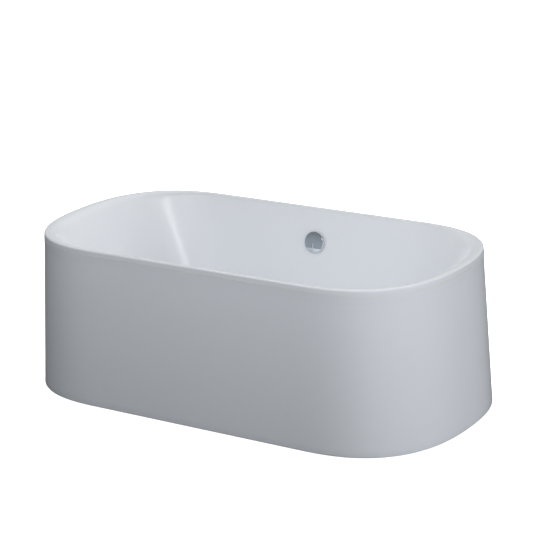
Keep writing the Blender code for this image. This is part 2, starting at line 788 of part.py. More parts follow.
def waste_flange():
    """The chrome waste seen on the floor: a dished flange, a threaded neck, and a spoked guide for the stem."""
    flange = turned(
        "waste_flange",
        [
            (0.0285, 0.0028),
            (0.0330, 0.0025),
            (FLANGE_RADIUS, 0.0012),
            (FLANGE_RADIUS, GAP),
            (NECK_SHOULDER, GAP),
            (NECK_SHOULDER, -0.0044),
            (NECK_OUTER, -0.0048),
            (NECK_OUTER, -0.0255),
            (NECK_INNER, -0.0255),
            (NECK_INNER, -0.0036),
            (0.0250, -0.0030),
            (0.0270, 0.0008),
        ],
        CHROME,
        steps=36,
        closed=True,
        place=(0, 0, FLOOR_Z),
    )
    guide_low, guide_high = -0.018, -0.014
    bm = bmesh.new()
    add_cylinder(bm, 0.0070, (0, 0, guide_low), (0, 0, guide_high), sides=20)
    hub = as_cutter(mesh_object("guide_hub", bm, None, parent=flange))
    for number in range(2):
        bm = bmesh.new()
        spoke = add_box(bm, (2 * NECK_INNER + 0.002, 0.003, 0.0036), (0, 0, (guide_low + guide_high) / 2))
        bmesh.ops.rotate(bm, verts=spoke, matrix=Matrix.Rotation(math.pi / 4 + number * math.pi / 2, 3, "Z"))
        boolean(flange, as_cutter(mesh_object(f"guide_spoke_{number}", bm, None, parent=flange)), "UNION")
    boolean(flange, hub, "UNION")
    bore = [((0, 0, guide_low - 0.01), (0, 0, guide_high + 0.01))]
    boolean(flange, cylinder_cutter("guide_bore", STEM_RADIUS + RUNNING_CLEARANCE, bore, flange, 20))


def waste_plug():
    """The chrome pop-up plug with its seal, and the brass stem that the lever lifts."""
    turned(
        "waste_plug",
        [
            (0, 0.0072),
            (0.0120, 0.0068),
            (0.0200, 0.0056),
            (0.0250, 0.0040),
            (0.0264, 0.0026),
            (0.0258, 0.0014),
            (0.0222, 0.0004),
            (0.0060, 0.0002),
            (0.0060, -0.0060),
            (0, -0.0060),
        ],
        CHROME,
        steps=36,
        place=(0, 0, FLOOR_Z),
    )
    turned(
        "plug_seal",
        ring_profile(0.0200, 0.0248, -0.0024, -0.0004),
        RUBBER,
        closed=True,
        place=(0, 0, FLOOR_Z),
    )
    cylinder(
        "plug_stem",
        STEM_RADIUS,
        (0, 0, FLOOR_Z - 0.0060 - GAP),
        (0, 0, FLOOR_Z - STEM_LENGTH),
        BRASS,
        sides=20,
    )


def waste_body():
    """The plastic cup under the floor: overflow inlet at the back, outlet below, and the lever shaft's gland."""
    low = CUP_BOTTOM
    body = turned(
        "waste_body",
        [
            (NECK_OUTER + GAP, WASTE_BODY_TOP),
            (0.0400, WASTE_BODY_TOP),
            (0.0400, WASTE_BODY_TOP - 0.0040),
            (CUP_OUTER, WASTE_BODY_TOP - 0.0040),
            (CUP_OUTER, low),
            (0.0200, low - 0.0040),
            (0.0200, low - 0.0150),
            (0.0165, low - 0.0150),
            (0.0165, low),
            (CUP_INNER, low + 0.0030),
            (CUP_INNER, WASTE_BODY_TOP - 0.0070),
            (NECK_OUTER + GAP, WASTE_BODY_TOP - 0.0070),
        ],
        BLACK_PLASTIC,
        steps=32,
        closed=True,
    )
    inlet = cylinder_cutter(
        "waste_inlet", SPIGOT_OUTER, [((0, 0.0320, INLET_Z), (0, WASTE_INLET_REACH, INLET_Z))]
    )
    boolean(body, inlet, "UNION")
    gland_ends = [((0.0235, PIVOT_Y, PIVOT_Z), (0.0340, PIVOT_Y, PIVOT_Z))]
    boolean(body, cylinder_cutter("shaft_gland", 0.0065, gland_ends), "UNION")
    bm = bmesh.new()
    add_box(bm, (0.0185, 0.012, 0.012), (CABLE_X - 0.00525, FERRULE_START + 0.006, CRANK_TIP_Z))
    boolean(body, as_cutter(mesh_object("cable_bracket", bm, None)), "UNION")
    inlet_bore = [((0, 0.0200, INLET_Z), (0, WASTE_INLET_REACH + 0.01, INLET_Z))]
    boolean(body, cylinder_cutter("waste_inlet_bore", SPIGOT_INNER, inlet_bore))
    shaft_bore = [((0.0120, PIVOT_Y, PIVOT_Z), (0.0500, PIVOT_Y, PIVOT_Z))]
    boolean(body, cylinder_cutter("shaft_bore", SHAFT_RADIUS + RUNNING_CLEARANCE, shaft_bore, sides=20))
    ferrule_bore = [((CABLE_X, FERRULE_START - 0.01, CRANK_TIP_Z), (CABLE_X, FERRULE_START + 0.02, CRANK_TIP_Z))]
    boolean(body, cylinder_cutter("ferrule_bore", FERRULE_RADIUS + GAP, ferrule_bore, sides=20))
    turned(
        "waste_gasket",
        ring_profile(0.0245, 0.0385, WASTE_BODY_TOP + GAP, FLOOR_Z - SHEET - GAP),
        RUBBER,
        closed=True,
    )


WASTE_BODY_TOP = FLOOR_Z - SHEET - 0.0034
WASTE_INLET_REACH = 0.062
# The lever's tip is under the stem at rest, with the arm half its swing below level.
PIVOT_Z = FLOOR_Z - STEM_LENGTH - 0.0005 - LEVER_TIP_RADIUS + LEVER_ARM * math.sin(LEVER_SWING / 2)
CRANK_TIP_Y = PIVOT_Y - CRANK_ARM * math.sin(LEVER_SWING / 2)
CRANK_TIP_Z = PIVOT_Z - CRANK_ARM * math.cos(LEVER_SWING / 2)
FERRULE_RADIUS = 0.0036
FERRULE_START = 0.010
FERRULE_LENGTH = 0.034


def lift_lever():
    """The arm inside the cup, its shaft through the gland, and the crank outside that the cable pulls."""
    axis = bpy.data.objects.new("lever_axis", None)
    tub_parts.objects.link(axis)
    axis.location = (0, PIVOT_Y, PIVOT_Z)
    axis.rotation_euler = (-LEVER_SWING / 2, 0, 0)
    bm = bmesh.new()
    add_cylinder(bm, 0.0055, (-0.0040, 0, 0), (0.0040, 0, 0), sides=20)
    lever = mesh_object("lift_lever", bm, WHITE_PLASTIC, parent=axis)
    bm = bmesh.new()
    add_box(bm, (0.0060, LEVER_ARM, 0.0040), (0, LEVER_ARM / 2, 0))
    boolean(lever, as_cutter(mesh_object("lever_arm", bm, None, parent=axis)), "UNION")
    tip = [((-0.0030, LEVER_ARM, 0), (0.0030, LEVER_ARM, 0))]
    boolean(lever, cylinder_cutter("lever_tip", LEVER_TIP_RADIUS, tip, axis, 16), "UNION")
    bore = [((-0.01, 0, 0), (0.01, 0, 0))]
    boolean(lever, cylinder_cutter("lever_bore", SHAFT_RADIUS + GAP, bore, axis, 20))
    cylinder("lever_shaft", SHAFT_RADIUS, (-0.0050, 0, 0), (CRANK_X + 0.0030, 0, 0), BRASS, sides=20, parent=axis)
    bm = bmesh.new()
    add_cylinder(bm, 0.0058, (CRANK_X - 0.0020, 0, 0), (CRANK_X + 0.0020, 0, 0), sides=20)
    crank = mesh_object("crank_arm", bm, WHITE_PLASTIC, parent=axis)
    bm = bmesh.new()
    add_box(bm, (0.0036, 0.0070, CRANK_ARM + 0.003), (CRANK_X, 0, -CRANK_ARM / 2 - 0.0015))
    boolean(crank, as_cutter(mesh_object("crank_bar", bm, None, parent=axis)), "UNION")
    crank_bore = [((CRANK_X - 0.01, 0, 0), (CRANK_X + 0.01, 0, 0))]
    boolean(crank, cylinder_cutter("crank_bore", SHAFT_RADIUS + GAP, crank_bore, axis, 20))


# ---- Cable, hose and trap -----------------------------------------------------------------------------------


def cable():
    """The Bowden cable from the overflow body to the crank: sheath, lower ferrule and the sliding inner wire."""
    start = OVERFLOW_MATRIX @ Vector((CABLE_PORT_X, CABLE_PORT_END - GAP, OVERFLOW_SPIGOT_DEPTH))
    lead = OVERFLOW_MATRIX @ Vector((CABLE_PORT_X, -0.0480, OVERFLOW_SPIGOT_DEPTH))
    ferrule_end = FERRULE_START + FERRULE_LENGTH
    route = [
        start,
        lead,
        (0.038, 0.396, 0.340),
        (0.046, 0.392, 0.250),
        (0.050, 0.374, 0.165),
        (0.049, 0.318, CRANK_TIP_Z + 0.006),
        (0.046, 0.240, CRANK_TIP_Z),
        (CABLE_X, 0.150, CRANK_TIP_Z),
        (CABLE_X, ferrule_end + GAP, CRANK_TIP_Z),
    ]
    keep(tube_curve("cable_sheath", through(route, 5), CABLE_RADIUS, 2, True), BLACK_PLASTIC)
    turned(
        "cable_ferrule",
        [
            (0.0016, 0),
            (0.0016, FERRULE_LENGTH - 0.0020),
            (0, FERRULE_LENGTH - 0.0020),
            (0, FERRULE_LENGTH),
            (FERRULE_RADIUS, FERRULE_LENGTH),
            (FERRULE_RADIUS, 0),
        ],
        STEEL,
        steps=20,
        closed=True,
        place=(CABLE_X, FERRULE_START, CRANK_TIP_Z),
        turn=(-math.pi / 2, 0, 0),
    )
    bm = bmesh.new()
    barrel = (CRANK_X + 0.0022, CRANK_TIP_Y, CRANK_TIP_Z), (CABLE_X + 0.0030, CRANK_TIP_Y, CRANK_TIP_Z)
    add_cylinder(bm, 0.0030, *barrel, sides=16)
    wire = mesh_object("cable_wire", bm, STEEL)
    reach = FERRULE_START + 0.0120
    ends = [((CABLE_X, CRANK_TIP_Y, CRANK_TIP_Z), (CABLE_X, reach, CRANK_TIP_Z))]
    boolean(wire, cylinder_cutter("wire_core", 0.0010, ends, sides=12), "UNION")




def overflow_hose():
    """The flexible hose from the overflow body down behind the wall and under the floor to the waste cup."""
    top = OVERFLOW_MATRIX @ Vector((0, -0.0365, OVERFLOW_SPIGOT_DEPTH))
    clear = OVERFLOW_MATRIX @ Vector((0, -OVERFLOW_SPIGOT_REACH, OVERFLOW_SPIGOT_DEPTH))
    lead = OVERFLOW_MATRIX @ Vector((0, -OVERFLOW_SPIGOT_REACH - 0.014, OVERFLOW_SPIGOT_DEPTH))
    route = [
        top,
        clear,
        lead,
        (0, 0.3940, 0.310),
        (0, 0.3930, 0.240),
        (0, 0.3780, 0.175),
        (0, 0.3360, 0.125),
        (0, 0.2700, 0.1000),
        (0, 0.1900, 0.0970),
        (0, 0.1250, 0.1070),
        (0, 0.0860, INLET_Z),
        (0, 0.0660, INLET_Z),
        (0, 0.0420, INLET_Z),
    ]
    hollow_tube("overflow_hose", through(route, 2), HOSE_RADIUS, HOSE_WALL, WHITE_PLASTIC)
    for name, place, turn in (
        ("hose_clip_upper", OVERFLOW_MATRIX @ Vector((0, -0.0480, OVERFLOW_SPIGOT_DEPTH)), SIDE_LEAN),
        ("hose_clip_lower", Vector((0, 0.0540, INLET_Z)), math.pi / 2),
    ):
        clip_profile = ring_profile(HOSE_RADIUS + GAP, HOSE_RADIUS + 0.0016, -0.0045, 0.0045)
        turned(name, clip_profile, STEEL, closed=True, place=place, turn=(-turn, 0, 0))


def trap():
    """The shallow trap under the waste: down, round, up again and level to the outlet."""
    top = CUP_BOTTOM - 0.0040 - GAP
    low_centre = top - 0.020
    points = [Vector((0, 0, top))]
    for step in range(9):
        angle = math.pi * step / 8
        points.append(Vector((-TRAP_BEND * (1 - math.cos(angle)), 0, low_centre - TRAP_BEND * math.sin(angle))))
    rise_radius = TRAP_OUTLET_Z - low_centre
    turn_x = -2 * TRAP_BEND - rise_radius
    for step in range(1, 5):
        angle = math.pi / 2 * step / 4
        points.append(
            Vector((turn_x + rise_radius * math.cos(angle), 0, low_centre + rise_radius * math.sin(angle)))
        )
    points.append(Vector((TRAP_OUTLET_X, 0, TRAP_OUTLET_Z)))
    hollow_tube("trap_bend", points, TRAP_RADIUS + TRAP_WALL, TRAP_WALL - 2 * GAP, BLACK_PLASTIC)
    nut = ring_profile(TRAP_RADIUS + TRAP_WALL + GAP, 0.0290, -0.0085, 0.0085)
    turned("trap_nut", nut, BLACK_PLASTIC, steps=24, closed=True, place=(0, 0, top - 0.0095))


basin_shell()
outer_skirt()
bonding_strip()
base_board()
frame()
frame_screws()
skirt_brackets()
feet()
overflow_rosette()
overflow_knob()
overflow_drive()
overflow_body()
waste_flange()
waste_plug()
waste_body()
lift_lever()
cable()
overflow_hose()
trap()
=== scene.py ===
import math

import bmesh
import bpy
from mathutils import Matrix, Quaternion, Vector


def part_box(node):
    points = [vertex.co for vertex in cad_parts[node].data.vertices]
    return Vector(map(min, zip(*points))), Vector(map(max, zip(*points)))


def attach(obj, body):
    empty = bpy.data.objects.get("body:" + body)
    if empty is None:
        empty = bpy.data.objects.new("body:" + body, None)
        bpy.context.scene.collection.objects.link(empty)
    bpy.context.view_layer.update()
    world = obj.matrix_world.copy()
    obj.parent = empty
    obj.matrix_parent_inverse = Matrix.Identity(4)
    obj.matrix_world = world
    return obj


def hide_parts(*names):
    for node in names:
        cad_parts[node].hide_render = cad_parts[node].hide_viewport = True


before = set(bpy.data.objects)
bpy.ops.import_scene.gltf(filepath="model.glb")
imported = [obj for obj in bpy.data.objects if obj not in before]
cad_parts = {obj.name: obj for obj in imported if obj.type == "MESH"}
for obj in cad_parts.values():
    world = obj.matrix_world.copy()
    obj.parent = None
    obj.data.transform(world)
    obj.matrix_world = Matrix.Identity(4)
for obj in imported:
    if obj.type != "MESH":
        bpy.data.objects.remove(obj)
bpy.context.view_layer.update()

# ---- Basin ----------------------------------------------------------------------------------------------------
# The wet shell of the tub: one sheet of white acrylic, vacuum formed, with a rolled rim and a lip that turns down
# outside. Its back is sprayed with chopped glass fibre in resin. It is bonded to the skirt along the lip.

TUB_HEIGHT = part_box("basin_shell")[1].z
RIM_HALF_LENGTH = 0.820
RIM_HALF_WIDTH = 0.426
FLARE = 0.030  # the foot of the tub stands out this far past the rim, all round
END_SHARE = 0.483  # share of the half length that a rounded end takes up
END_EXPONENT = 2.5  # superellipse exponent of the ends
END_SEGMENTS = 30
SIDE_CUTS = 21
SHEET = 0.005
EDGE_RADIUS = 0.007
SIDE_EDGE_INSET = 0.012
LIP_DEPTH = 0.026
FLOOR_Z = 0.162
FLOOR_FALL = 0.002
WASTE_HOLE = 0.0275
END_EDGE_INSET = 0.016
END_ROLL = 0.050
END_LEAN = math.radians(28)
END_FILLET = 0.160
SIDE_ROLL = 0.010
SIDE_LEAN = math.radians(9.5)
SIDE_FILLET = 0.120
EDGE_STEPS, ROLL_STEPS, WALL_STEPS, FILLET_STEPS, FLOOR_STEPS = 8, 10, 14, 18, 8


def select_none():
    """Leaves edit mode with nothing selected, so that the next operator acts on the new piece only."""
    if bpy.context.mode != "OBJECT":
        bpy.ops.object.mode_set(mode="OBJECT")
    bpy.ops.object.select_all(action="DESELECT")


def shell_outline(name, half_length, half_width, height):
    """Starts a shell as its plan, a loop of edges: a rectangle whose two ends are superelliptic."""
    run = END_SHARE * half_length
    select_none()
    bpy.ops.mesh.primitive_plane_add(size=2)
    shell = bpy.context.object
    shell.name = shell.data.name = name
    bpy.ops.object.mode_set(mode="EDIT")
    bpy.ops.transform.resize(value=(half_length, run, 1), center_override=(0, 0, 0))
    bpy.ops.mesh.bevel(
        offset_type="OFFSET",
        offset=run,
        segments=END_SEGMENTS,
        profile=2 ** (-2 / END_EXPONENT),
        affect="VERTICES",
    )
    bpy.ops.mesh.select_all(action="SELECT")
    bpy.ops.mesh.remove_doubles(threshold=0.0001)
    bpy.ops.mesh.delete(type="ONLY_FACE")
    bpy.ops.mesh.select_mode(type="EDGE")
    bpy.ops.mesh.select_all(action="DESELECT")
    drawn = bmesh.from_edit_mesh(shell.data)
    for edge in drawn.edges:
        edge.select_set(edge.calc_length() > half_length / 2)
    bmesh.update_edit_mesh(shell.data)
    bpy.ops.mesh.subdivide(number_cuts=SIDE_CUTS)
    bpy.ops.mesh.select_all(action="SELECT")
    bpy.ops.transform.resize(value=(1, half_width / run, 1), center_override=(0, 0, 0))
    bpy.ops.transform.translate(value=(0, 0, height))
    return shell


def shell_rings(shell, rings):
    """Draws the wall down through rings of (half length, half width, height at the ends, height at the sides)."""
    last_length, last_width = rings[0][:2]
    for number, (half_length, half_width, end_z, side_z) in enumerate(rings):
        if number:
            bpy.ops.mesh.extrude_edges_move()
            stretch = (half_length / last_length, half_width / last_width, 1)
            bpy.ops.transform.resize(value=stretch, center_override=(0, 0, 0))
        drawn = bmesh.from_edit_mesh(shell.data)
        run = END_SHARE * half_length
        for vert in drawn.verts:
            if vert.select:
                share = min(1.0, max(0.0, (abs(vert.co.x) - (half_length - run)) / run))
                vert.co.z = side_z + (end_z - side_z) * share**2
        bmesh.update_edit_mesh(shell.data)
        last_length, last_width = half_length, half_width


def face_the_room(shell, towards):
    """Turns a shell's faces so that most of them point the way that towards gives for a face's centre."""
    bpy.ops.mesh.select_all(action="SELECT")
    bpy.ops.mesh.normals_make_consistent(inside=False)
    drawn = bmesh.from_edit_mesh(shell.data)
    if sum(face.normal.dot(towards(face.calc_center_median())) for face in drawn.faces) < 0:
        bpy.ops.mesh.flip_normals()
    bpy.ops.object.mode_set(mode="OBJECT")


def apply_all(piece):
    """Applies a piece's modifiers in order."""
    select_none()
    piece.select_set(True)
    bpy.context.view_layer.objects.active = piece
    for modifier in list(piece.modifiers):
        bpy.ops.object.modifier_apply(modifier=modifier.name)


def outer_skin(height):
    """Half length and half width of the tub's outer skin at a height."""
    out = FLARE * (1 - height / TUB_HEIGHT)
    return RIM_HALF_LENGTH + out, RIM_HALF_WIDTH + out


def wet_wall(edge, roll, lean, fillet):
    """(half size, height) down a wet wall: over the roll, down the leaning wall and round the fillet."""
    turn = math.pi / 2 - lean
    line = []
    for step in range(ROLL_STEPS + 1):
        angle = turn * step / ROLL_STEPS
        line.append((edge - roll * math.sin(angle), TUB_HEIGHT - roll * (1 - math.cos(angle))))
    top_size, top_z = line[-1]
    centre_z = FLOOR_Z + FLOOR_FALL + fillet
    foot_z = centre_z - fillet * math.sin(lean)
    foot_size = top_size - (top_z - foot_z) * math.tan(lean)
    for step in range(1, WALL_STEPS):
        share = step / WALL_STEPS
        line.append((top_size + (foot_size - top_size) * share, top_z + (foot_z - top_z) * share))
    centre_size = foot_size - fillet * math.cos(lean)
    for step in range(FILLET_STEPS + 1):
        angle = lean + turn * step / FILLET_STEPS
        line.append((centre_size + fillet * math.cos(angle), centre_z - fillet * math.sin(angle)))
    return line


lip_foot = TUB_HEIGHT - LIP_DEPTH
basin_rings = []
for height, back in ((lip_foot + 0.0004, 0.0016), (lip_foot, 0.0009), (lip_foot + 0.0003, 0.0003),
                     (lip_foot + 0.0010, 0.0), (lip_foot + 0.004, 0.0)):
    half_length, half_width = outer_skin(height)
    basin_rings.append((half_length - back, half_width - back, height, height))
for step in range(EDGE_STEPS):
    angle = math.pi / 2 * step / EDGE_STEPS
    height = TUB_HEIGHT - EDGE_RADIUS * (1 - math.sin(angle))
    half_length, half_width = outer_skin(height)
    back = EDGE_RADIUS * (1 - math.cos(angle))
    basin_rings.append((half_length - back, half_width - back, height, height))
end_line = wet_wall(RIM_HALF_LENGTH - END_EDGE_INSET, END_ROLL, END_LEAN, END_FILLET)
side_line = wet_wall(RIM_HALF_WIDTH - SIDE_EDGE_INSET, SIDE_ROLL, SIDE_LEAN, SIDE_FILLET)
for (end_size, end_z), (side_size, side_z) in zip(end_line, side_line):
    basin_rings.append((end_size, side_size, end_z, side_z))
floor_length, floor_width = end_line[-1][0], side_line[-1][0]
for step in range(1, FLOOR_STEPS + 1):
    share = step / FLOOR_STEPS
    height = FLOOR_Z + FLOOR_FALL * (1 - share)
    basin_rings.append(
        (
            floor_length + (WASTE_HOLE - floor_length) * share,
            floor_width + (WASTE_HOLE - floor_width) * share,
            height,
            height,
        )
    )
basin = shell_outline("basin", *basin_rings[0][:2], 0)
shell_rings(basin, basin_rings)
face_the_room(basin, lambda centre: Vector((-centre.x, -centre.y, 1)))

OVERFLOW_Z = 0.455
OVERFLOW_HOLE = 0.026
side_top_size, side_top_z = side_line[ROLL_STEPS]
OVERFLOW_PLACE = Vector((0, side_top_size - (side_top_z - OVERFLOW_Z) * math.tan(SIDE_LEAN), OVERFLOW_Z))
# The overflow's own frame: Z stands off the wall into the tub and Y runs up the wall.
OVERFLOW_MATRIX = Matrix.Translation(OVERFLOW_PLACE) @ Matrix.Rotation(math.pi / 2 - SIDE_LEAN, 4, "X")


def settle(piece, matrix=None):
    """Puts a piece where the matrix says and applies that place, so that its object is at the origin."""
    select_none()
    piece.select_set(True)
    bpy.context.view_layer.objects.active = piece
    if matrix is not None:
        piece.matrix_world = matrix @ piece.matrix_world
    bpy.ops.object.transform_apply(location=True, rotation=True, scale=True)


def drill(piece, radius, depth, matrix):
    """Drills a round hole through a piece along the matrix's Z axis, depth each way."""
    select_none()
    bpy.ops.mesh.primitive_cylinder_add(vertices=96, radius=radius, depth=2 * depth)
    bit = bpy.context.object
    bit.matrix_world = matrix
    bore = piece.modifiers.new("bore", "BOOLEAN")
    bore.object = bit
    bore.solver = "FAST"
    apply_all(piece)
    bpy.data.objects.remove(bit)



def new_group(name, inputs, outputs):
    """A shader node group with named inputs (name, kind, value) and outputs (name, kind)."""
    group = bpy.data.node_groups.new(name, "ShaderNodeTree")
    for socket, kind, value in inputs:
        made = group.interface.new_socket(socket, in_out="INPUT", socket_type="NodeSocket" + kind)
        made.default_value = value
    for socket, kind in outputs:
        group.interface.new_socket(socket, in_out="OUTPUT", socket_type="NodeSocket" + kind)
    return group, group.nodes.new("NodeGroupInput"), group.nodes.new("NodeGroupOutput")


def put(tree, kind, settings=None, **values):
    """Adds a node, sets its own settings, and sets or links its sockets by name (a space is written as _)."""
    node = tree.nodes.new("ShaderNode" + kind)
    for key, value in (settings or {}).items():
        setattr(node, key, value)
    for key, value in values.items():
        socket = node.inputs[key.replace("_", " ")] if not key.startswith("slot") else node.inputs[int(key[4:])]
        if isinstance(value, bpy.types.NodeSocket):
            tree.links.new(value, socket)
        else:
            socket.default_value = value
    return node


def blend_colour(tree, share, first, second):
    """Mixes two colours, or sockets, by a share from 0 to 1; returns the mixed colour's socket."""
    node = tree.nodes.new("ShaderNodeMix")
    node.data_type = "RGBA"
    for socket, value in ((node.inputs[0], share), (node.inputs[6], first), (node.inputs[7], second)):
        if isinstance(value, bpy.types.NodeSocket):
            tree.links.new(value, socket)
        else:
            socket.default_value = value
    return node.outputs[2]


def sum_of(tree, operation, first, second, third=None):
    """A Math node on sockets or numbers; returns its result socket."""
    values = {"slot0": first, "slot1": second}
    if third is not None:
        values["slot2"] = third
    return put(tree, "Math", {"operation": operation}, **values).outputs[0]


# Handling: soft uneven patches, as a wiped or moulded face has, for roughness and shade.
handling, given, result = new_group(
    "handling",
    [("Vector", "Vector", (0, 0, 0)), ("Size", "Float", 4.0), ("Stretch", "Float", 1.0)],
    [("Patches", "Float"), ("Wipes", "Float")],
)
patches = put(handling, "TexNoise", None, Vector=given.outputs["Vector"], Scale=given.outputs["Size"], Detail=4.0,
              Roughness=0.55)
axes = put(handling, "CombineXYZ", None, X=1.0, Y=1.0, Z=given.outputs["Stretch"])
drawn_out = put(handling, "VectorMath", {"operation": "MULTIPLY"}, slot0=given.outputs["Vector"],
                slot1=axes.outputs[0])
wipe_size = sum_of(handling, "MULTIPLY", given.outputs["Size"], 3.0)
wipes = put(handling, "TexNoise", None, Vector=drawn_out.outputs[0], Scale=wipe_size, Detail=4.0, Roughness=0.5)
handling.links.new(patches.outputs[0], result.inputs["Patches"])
handling.links.new(wipes.outputs[0], result.inputs["Wipes"])

# Dust: settles on faces that look up, thicker in soft patches.
dust, given, result = new_group(
    "dust",
    [("Vector", "Vector", (0, 0, 0)), ("Normal", "Vector", (0, 0, 1)), ("Amount", "Float", 0.2)],
    [("Mask", "Float")],
)
facing = put(dust, "SeparateXYZ", None, Vector=given.outputs["Normal"])
upward = put(dust, "MapRange", {"interpolation_type": "SMOOTHSTEP"}, Value=facing.outputs["Z"], From_Min=0.35,
             From_Max=0.95)
speckle = put(dust, "TexNoise", None, Vector=given.outputs["Vector"], Scale=55.0, Detail=8.0, Roughness=0.7)
settled = put(dust, "MapRange", None, Value=speckle.outputs[0], From_Min=0.35, From_Max=0.75)
mask = sum_of(dust, "MULTIPLY", upward.outputs[0], settled.outputs[0])
mask = sum_of(dust, "MULTIPLY", mask, given.outputs["Amount"])
dust.links.new(mask, result.inputs["Mask"])

# Ripple: the faint long waves and fine orange peel of a sheet drawn over a mould, as a height.
ripple, given, result = new_group(
    "ripple",
    [("Vector", "Vector", (0, 0, 0)), ("Waves", "Float", 1.0), ("Peel", "Float", 1.0)],
    [("Height", "Float")],
)
long_waves = put(ripple, "TexNoise", None, Vector=given.outputs["Vector"], Scale=3.2, Detail=1.0, Roughness=0.4)
peel = put(ripple, "TexNoise", None, Vector=given.outputs["Vector"], Scale=160.0, Detail=2.0, Roughness=0.5)
waves_high = sum_of(ripple, "MULTIPLY", long_waves.outputs[0], given.outputs["Waves"])
peel_high = sum_of(ripple, "MULTIPLY", peel.outputs[0], given.outputs["Peel"])
both = sum_of(ripple, "ADD", waves_high, peel_high)
ripple.links.new(both, result.inputs["Height"])

# Grain: moulded or cast texture in two sizes, as a height and a mask.
grain, given, result = new_group(
    "grain",
    [("Vector", "Vector", (0, 0, 0)), ("Size", "Float", 900.0), ("Pits", "Float", 0.5)],
    [("Height", "Float"), ("Mask", "Float")],
)
fine = put(grain, "TexNoise", None, Vector=given.outputs["Vector"], Scale=given.outputs["Size"], Detail=3.0)
cells = put(grain, "TexVoronoi", None, Vector=given.outputs["Vector"], Scale=given.outputs["Size"])
pitted = sum_of(grain, "MULTIPLY", cells.outputs["Distance"], given.outputs["Pits"])
height = sum_of(grain, "ADD", fine.outputs[0], pitted)
grain.links.new(height, result.inputs["Height"])
grain.links.new(fine.outputs[0], result.inputs["Mask"])


def use(tree, group, **values):
    """Places a node group in a material and sets or links its inputs."""
    node = tree.nodes.new("ShaderNodeGroup")
    node.node_tree = group
    for key, value in values.items():
        if isinstance(value, bpy.types.NodeSocket):
            tree.links.new(value, node.inputs[key])
        else:
            node.inputs[key].default_value = value
    return node


def new_look(name, roughness, metallic=0.0, ior=1.5):
    """A material with its shader; returns the material, its tree, the shader and the object coordinates."""
    made = bpy.data.materials.new(name)
    made.use_nodes = True
    tree = made.node_tree
    shader = tree.nodes["Principled BSDF"]
    shader.inputs["Roughness"].default_value = roughness
    shader.inputs["Metallic"].default_value = metallic
    shader.inputs["IOR"].default_value = ior
    return made, tree, shader, tree.nodes.new("ShaderNodeTexCoord")


def vary(tree, shader, source, low, high, socket="Roughness"):
    """Feeds a shader socket from a 0 to 1 source spread between two values."""
    spread = put(tree, "MapRange", None, Value=source, From_Min=0.3, From_Max=0.7, To_Min=low, To_Max=high)
    tree.links.new(spread.outputs[0], shader.inputs[socket])


def bump(tree, shader, height, strength, distance):
    """Feeds the shader's normal from a height in metres times distance."""
    node = put(tree, "Bump", None, Strength=strength, Distance=distance, Height=height)
    tree.links.new(node.outputs[0], shader.inputs["Normal"])
    return node


def acrylic_look(name, deep, pale, wave, dusty):
    """Gloss white acrylic: cool white, faintly uneven in shade, waved by the mould and wiped with a cloth."""
    made, tree, shader, where = new_look(name, 0.24, ior=1.49)
    touched = use(tree, handling, Vector=where.outputs["Object"], Size=1.8, Stretch=0.6)
    tint = blend_colour(tree, touched.outputs["Patches"], deep, pale)
    settled = use(tree, dust, Vector=where.outputs["Object"], Normal=where.outputs["Normal"], Amount=dusty)
    tint = blend_colour(tree, settled.outputs["Mask"], tint, (0.72, 0.71, 0.69, 1))
    tree.links.new(tint, shader.inputs["Base Color"])
    vary(tree, shader, touched.outputs["Wipes"], 0.22, 0.26)
    sheet_height = use(tree, ripple, Vector=where.outputs["Object"], Waves=wave, Peel=0.012)
    bump(tree, shader, sheet_height.outputs["Height"], 0.5, 0.0012)
    return made


acrylic = acrylic_look("white_acrylic", (0.800, 0.825, 0.860, 1), (0.825, 0.850, 0.885, 1), 1.0, 0.04)


def backing_look():
    """Sprayed glass fibre: chopped strands in cloudy amber resin, rough and half gloss."""
    made, tree, shader, where = new_look("glass_fibre_backing", 0.45)
    point = where.outputs["Object"]
    layers = None
    for turn, size in ((0.0, 190.0), (1.1, 230.0), (2.2, 210.0)):
        mapped = put(tree, "Mapping", None, Vector=point, Rotation=(turn, turn * 0.7, turn), Scale=(1.0, 0.08, 0.5))
        strand = put(tree, "TexNoise", None, Vector=mapped.outputs[0], Scale=size, Detail=2.0, Distortion=1.5)
        ridge = put(tree, "MapRange", None, Value=strand.outputs[0], From_Min=0.52, From_Max=0.66)
        layers = ridge.outputs[0] if layers is None else sum_of(tree, "MAXIMUM", layers, ridge.outputs[0])
    resin = put(tree, "TexNoise", None, Vector=point, Scale=14.0, Detail=5.0)
    cloud = blend_colour(tree, resin.outputs[0], (0.47, 0.43, 0.30, 1), (0.66, 0.63, 0.50, 1))
    colour = blend_colour(tree, layers, cloud, (0.74, 0.73, 0.64, 1))
    tree.links.new(colour, shader.inputs["Base Color"])
    vary(tree, shader, resin.outputs[0], 0.30, 0.62)
    relief = sum_of(tree, "MULTIPLY_ADD", layers, 0.5, resin.outputs[0])
    bump(tree, shader, relief, 0.8, 0.0012)
    return made


backing = backing_look()


def add_sheet(shell, thickness, face, back):
    """Gives a drawn shell its thickness on the hidden side, with its own material there."""
    shell.data.materials.append(face)
    shell.data.materials.append(back)
    wall = shell.modifiers.new("sheet", "SOLIDIFY")
    wall.thickness = thickness
    wall.offset = -1
    wall.use_even_offset = True
    wall.material_offset = 1
    apply_all(shell)
    bpy.ops.object.shade_smooth_by_angle(angle=math.radians(40))


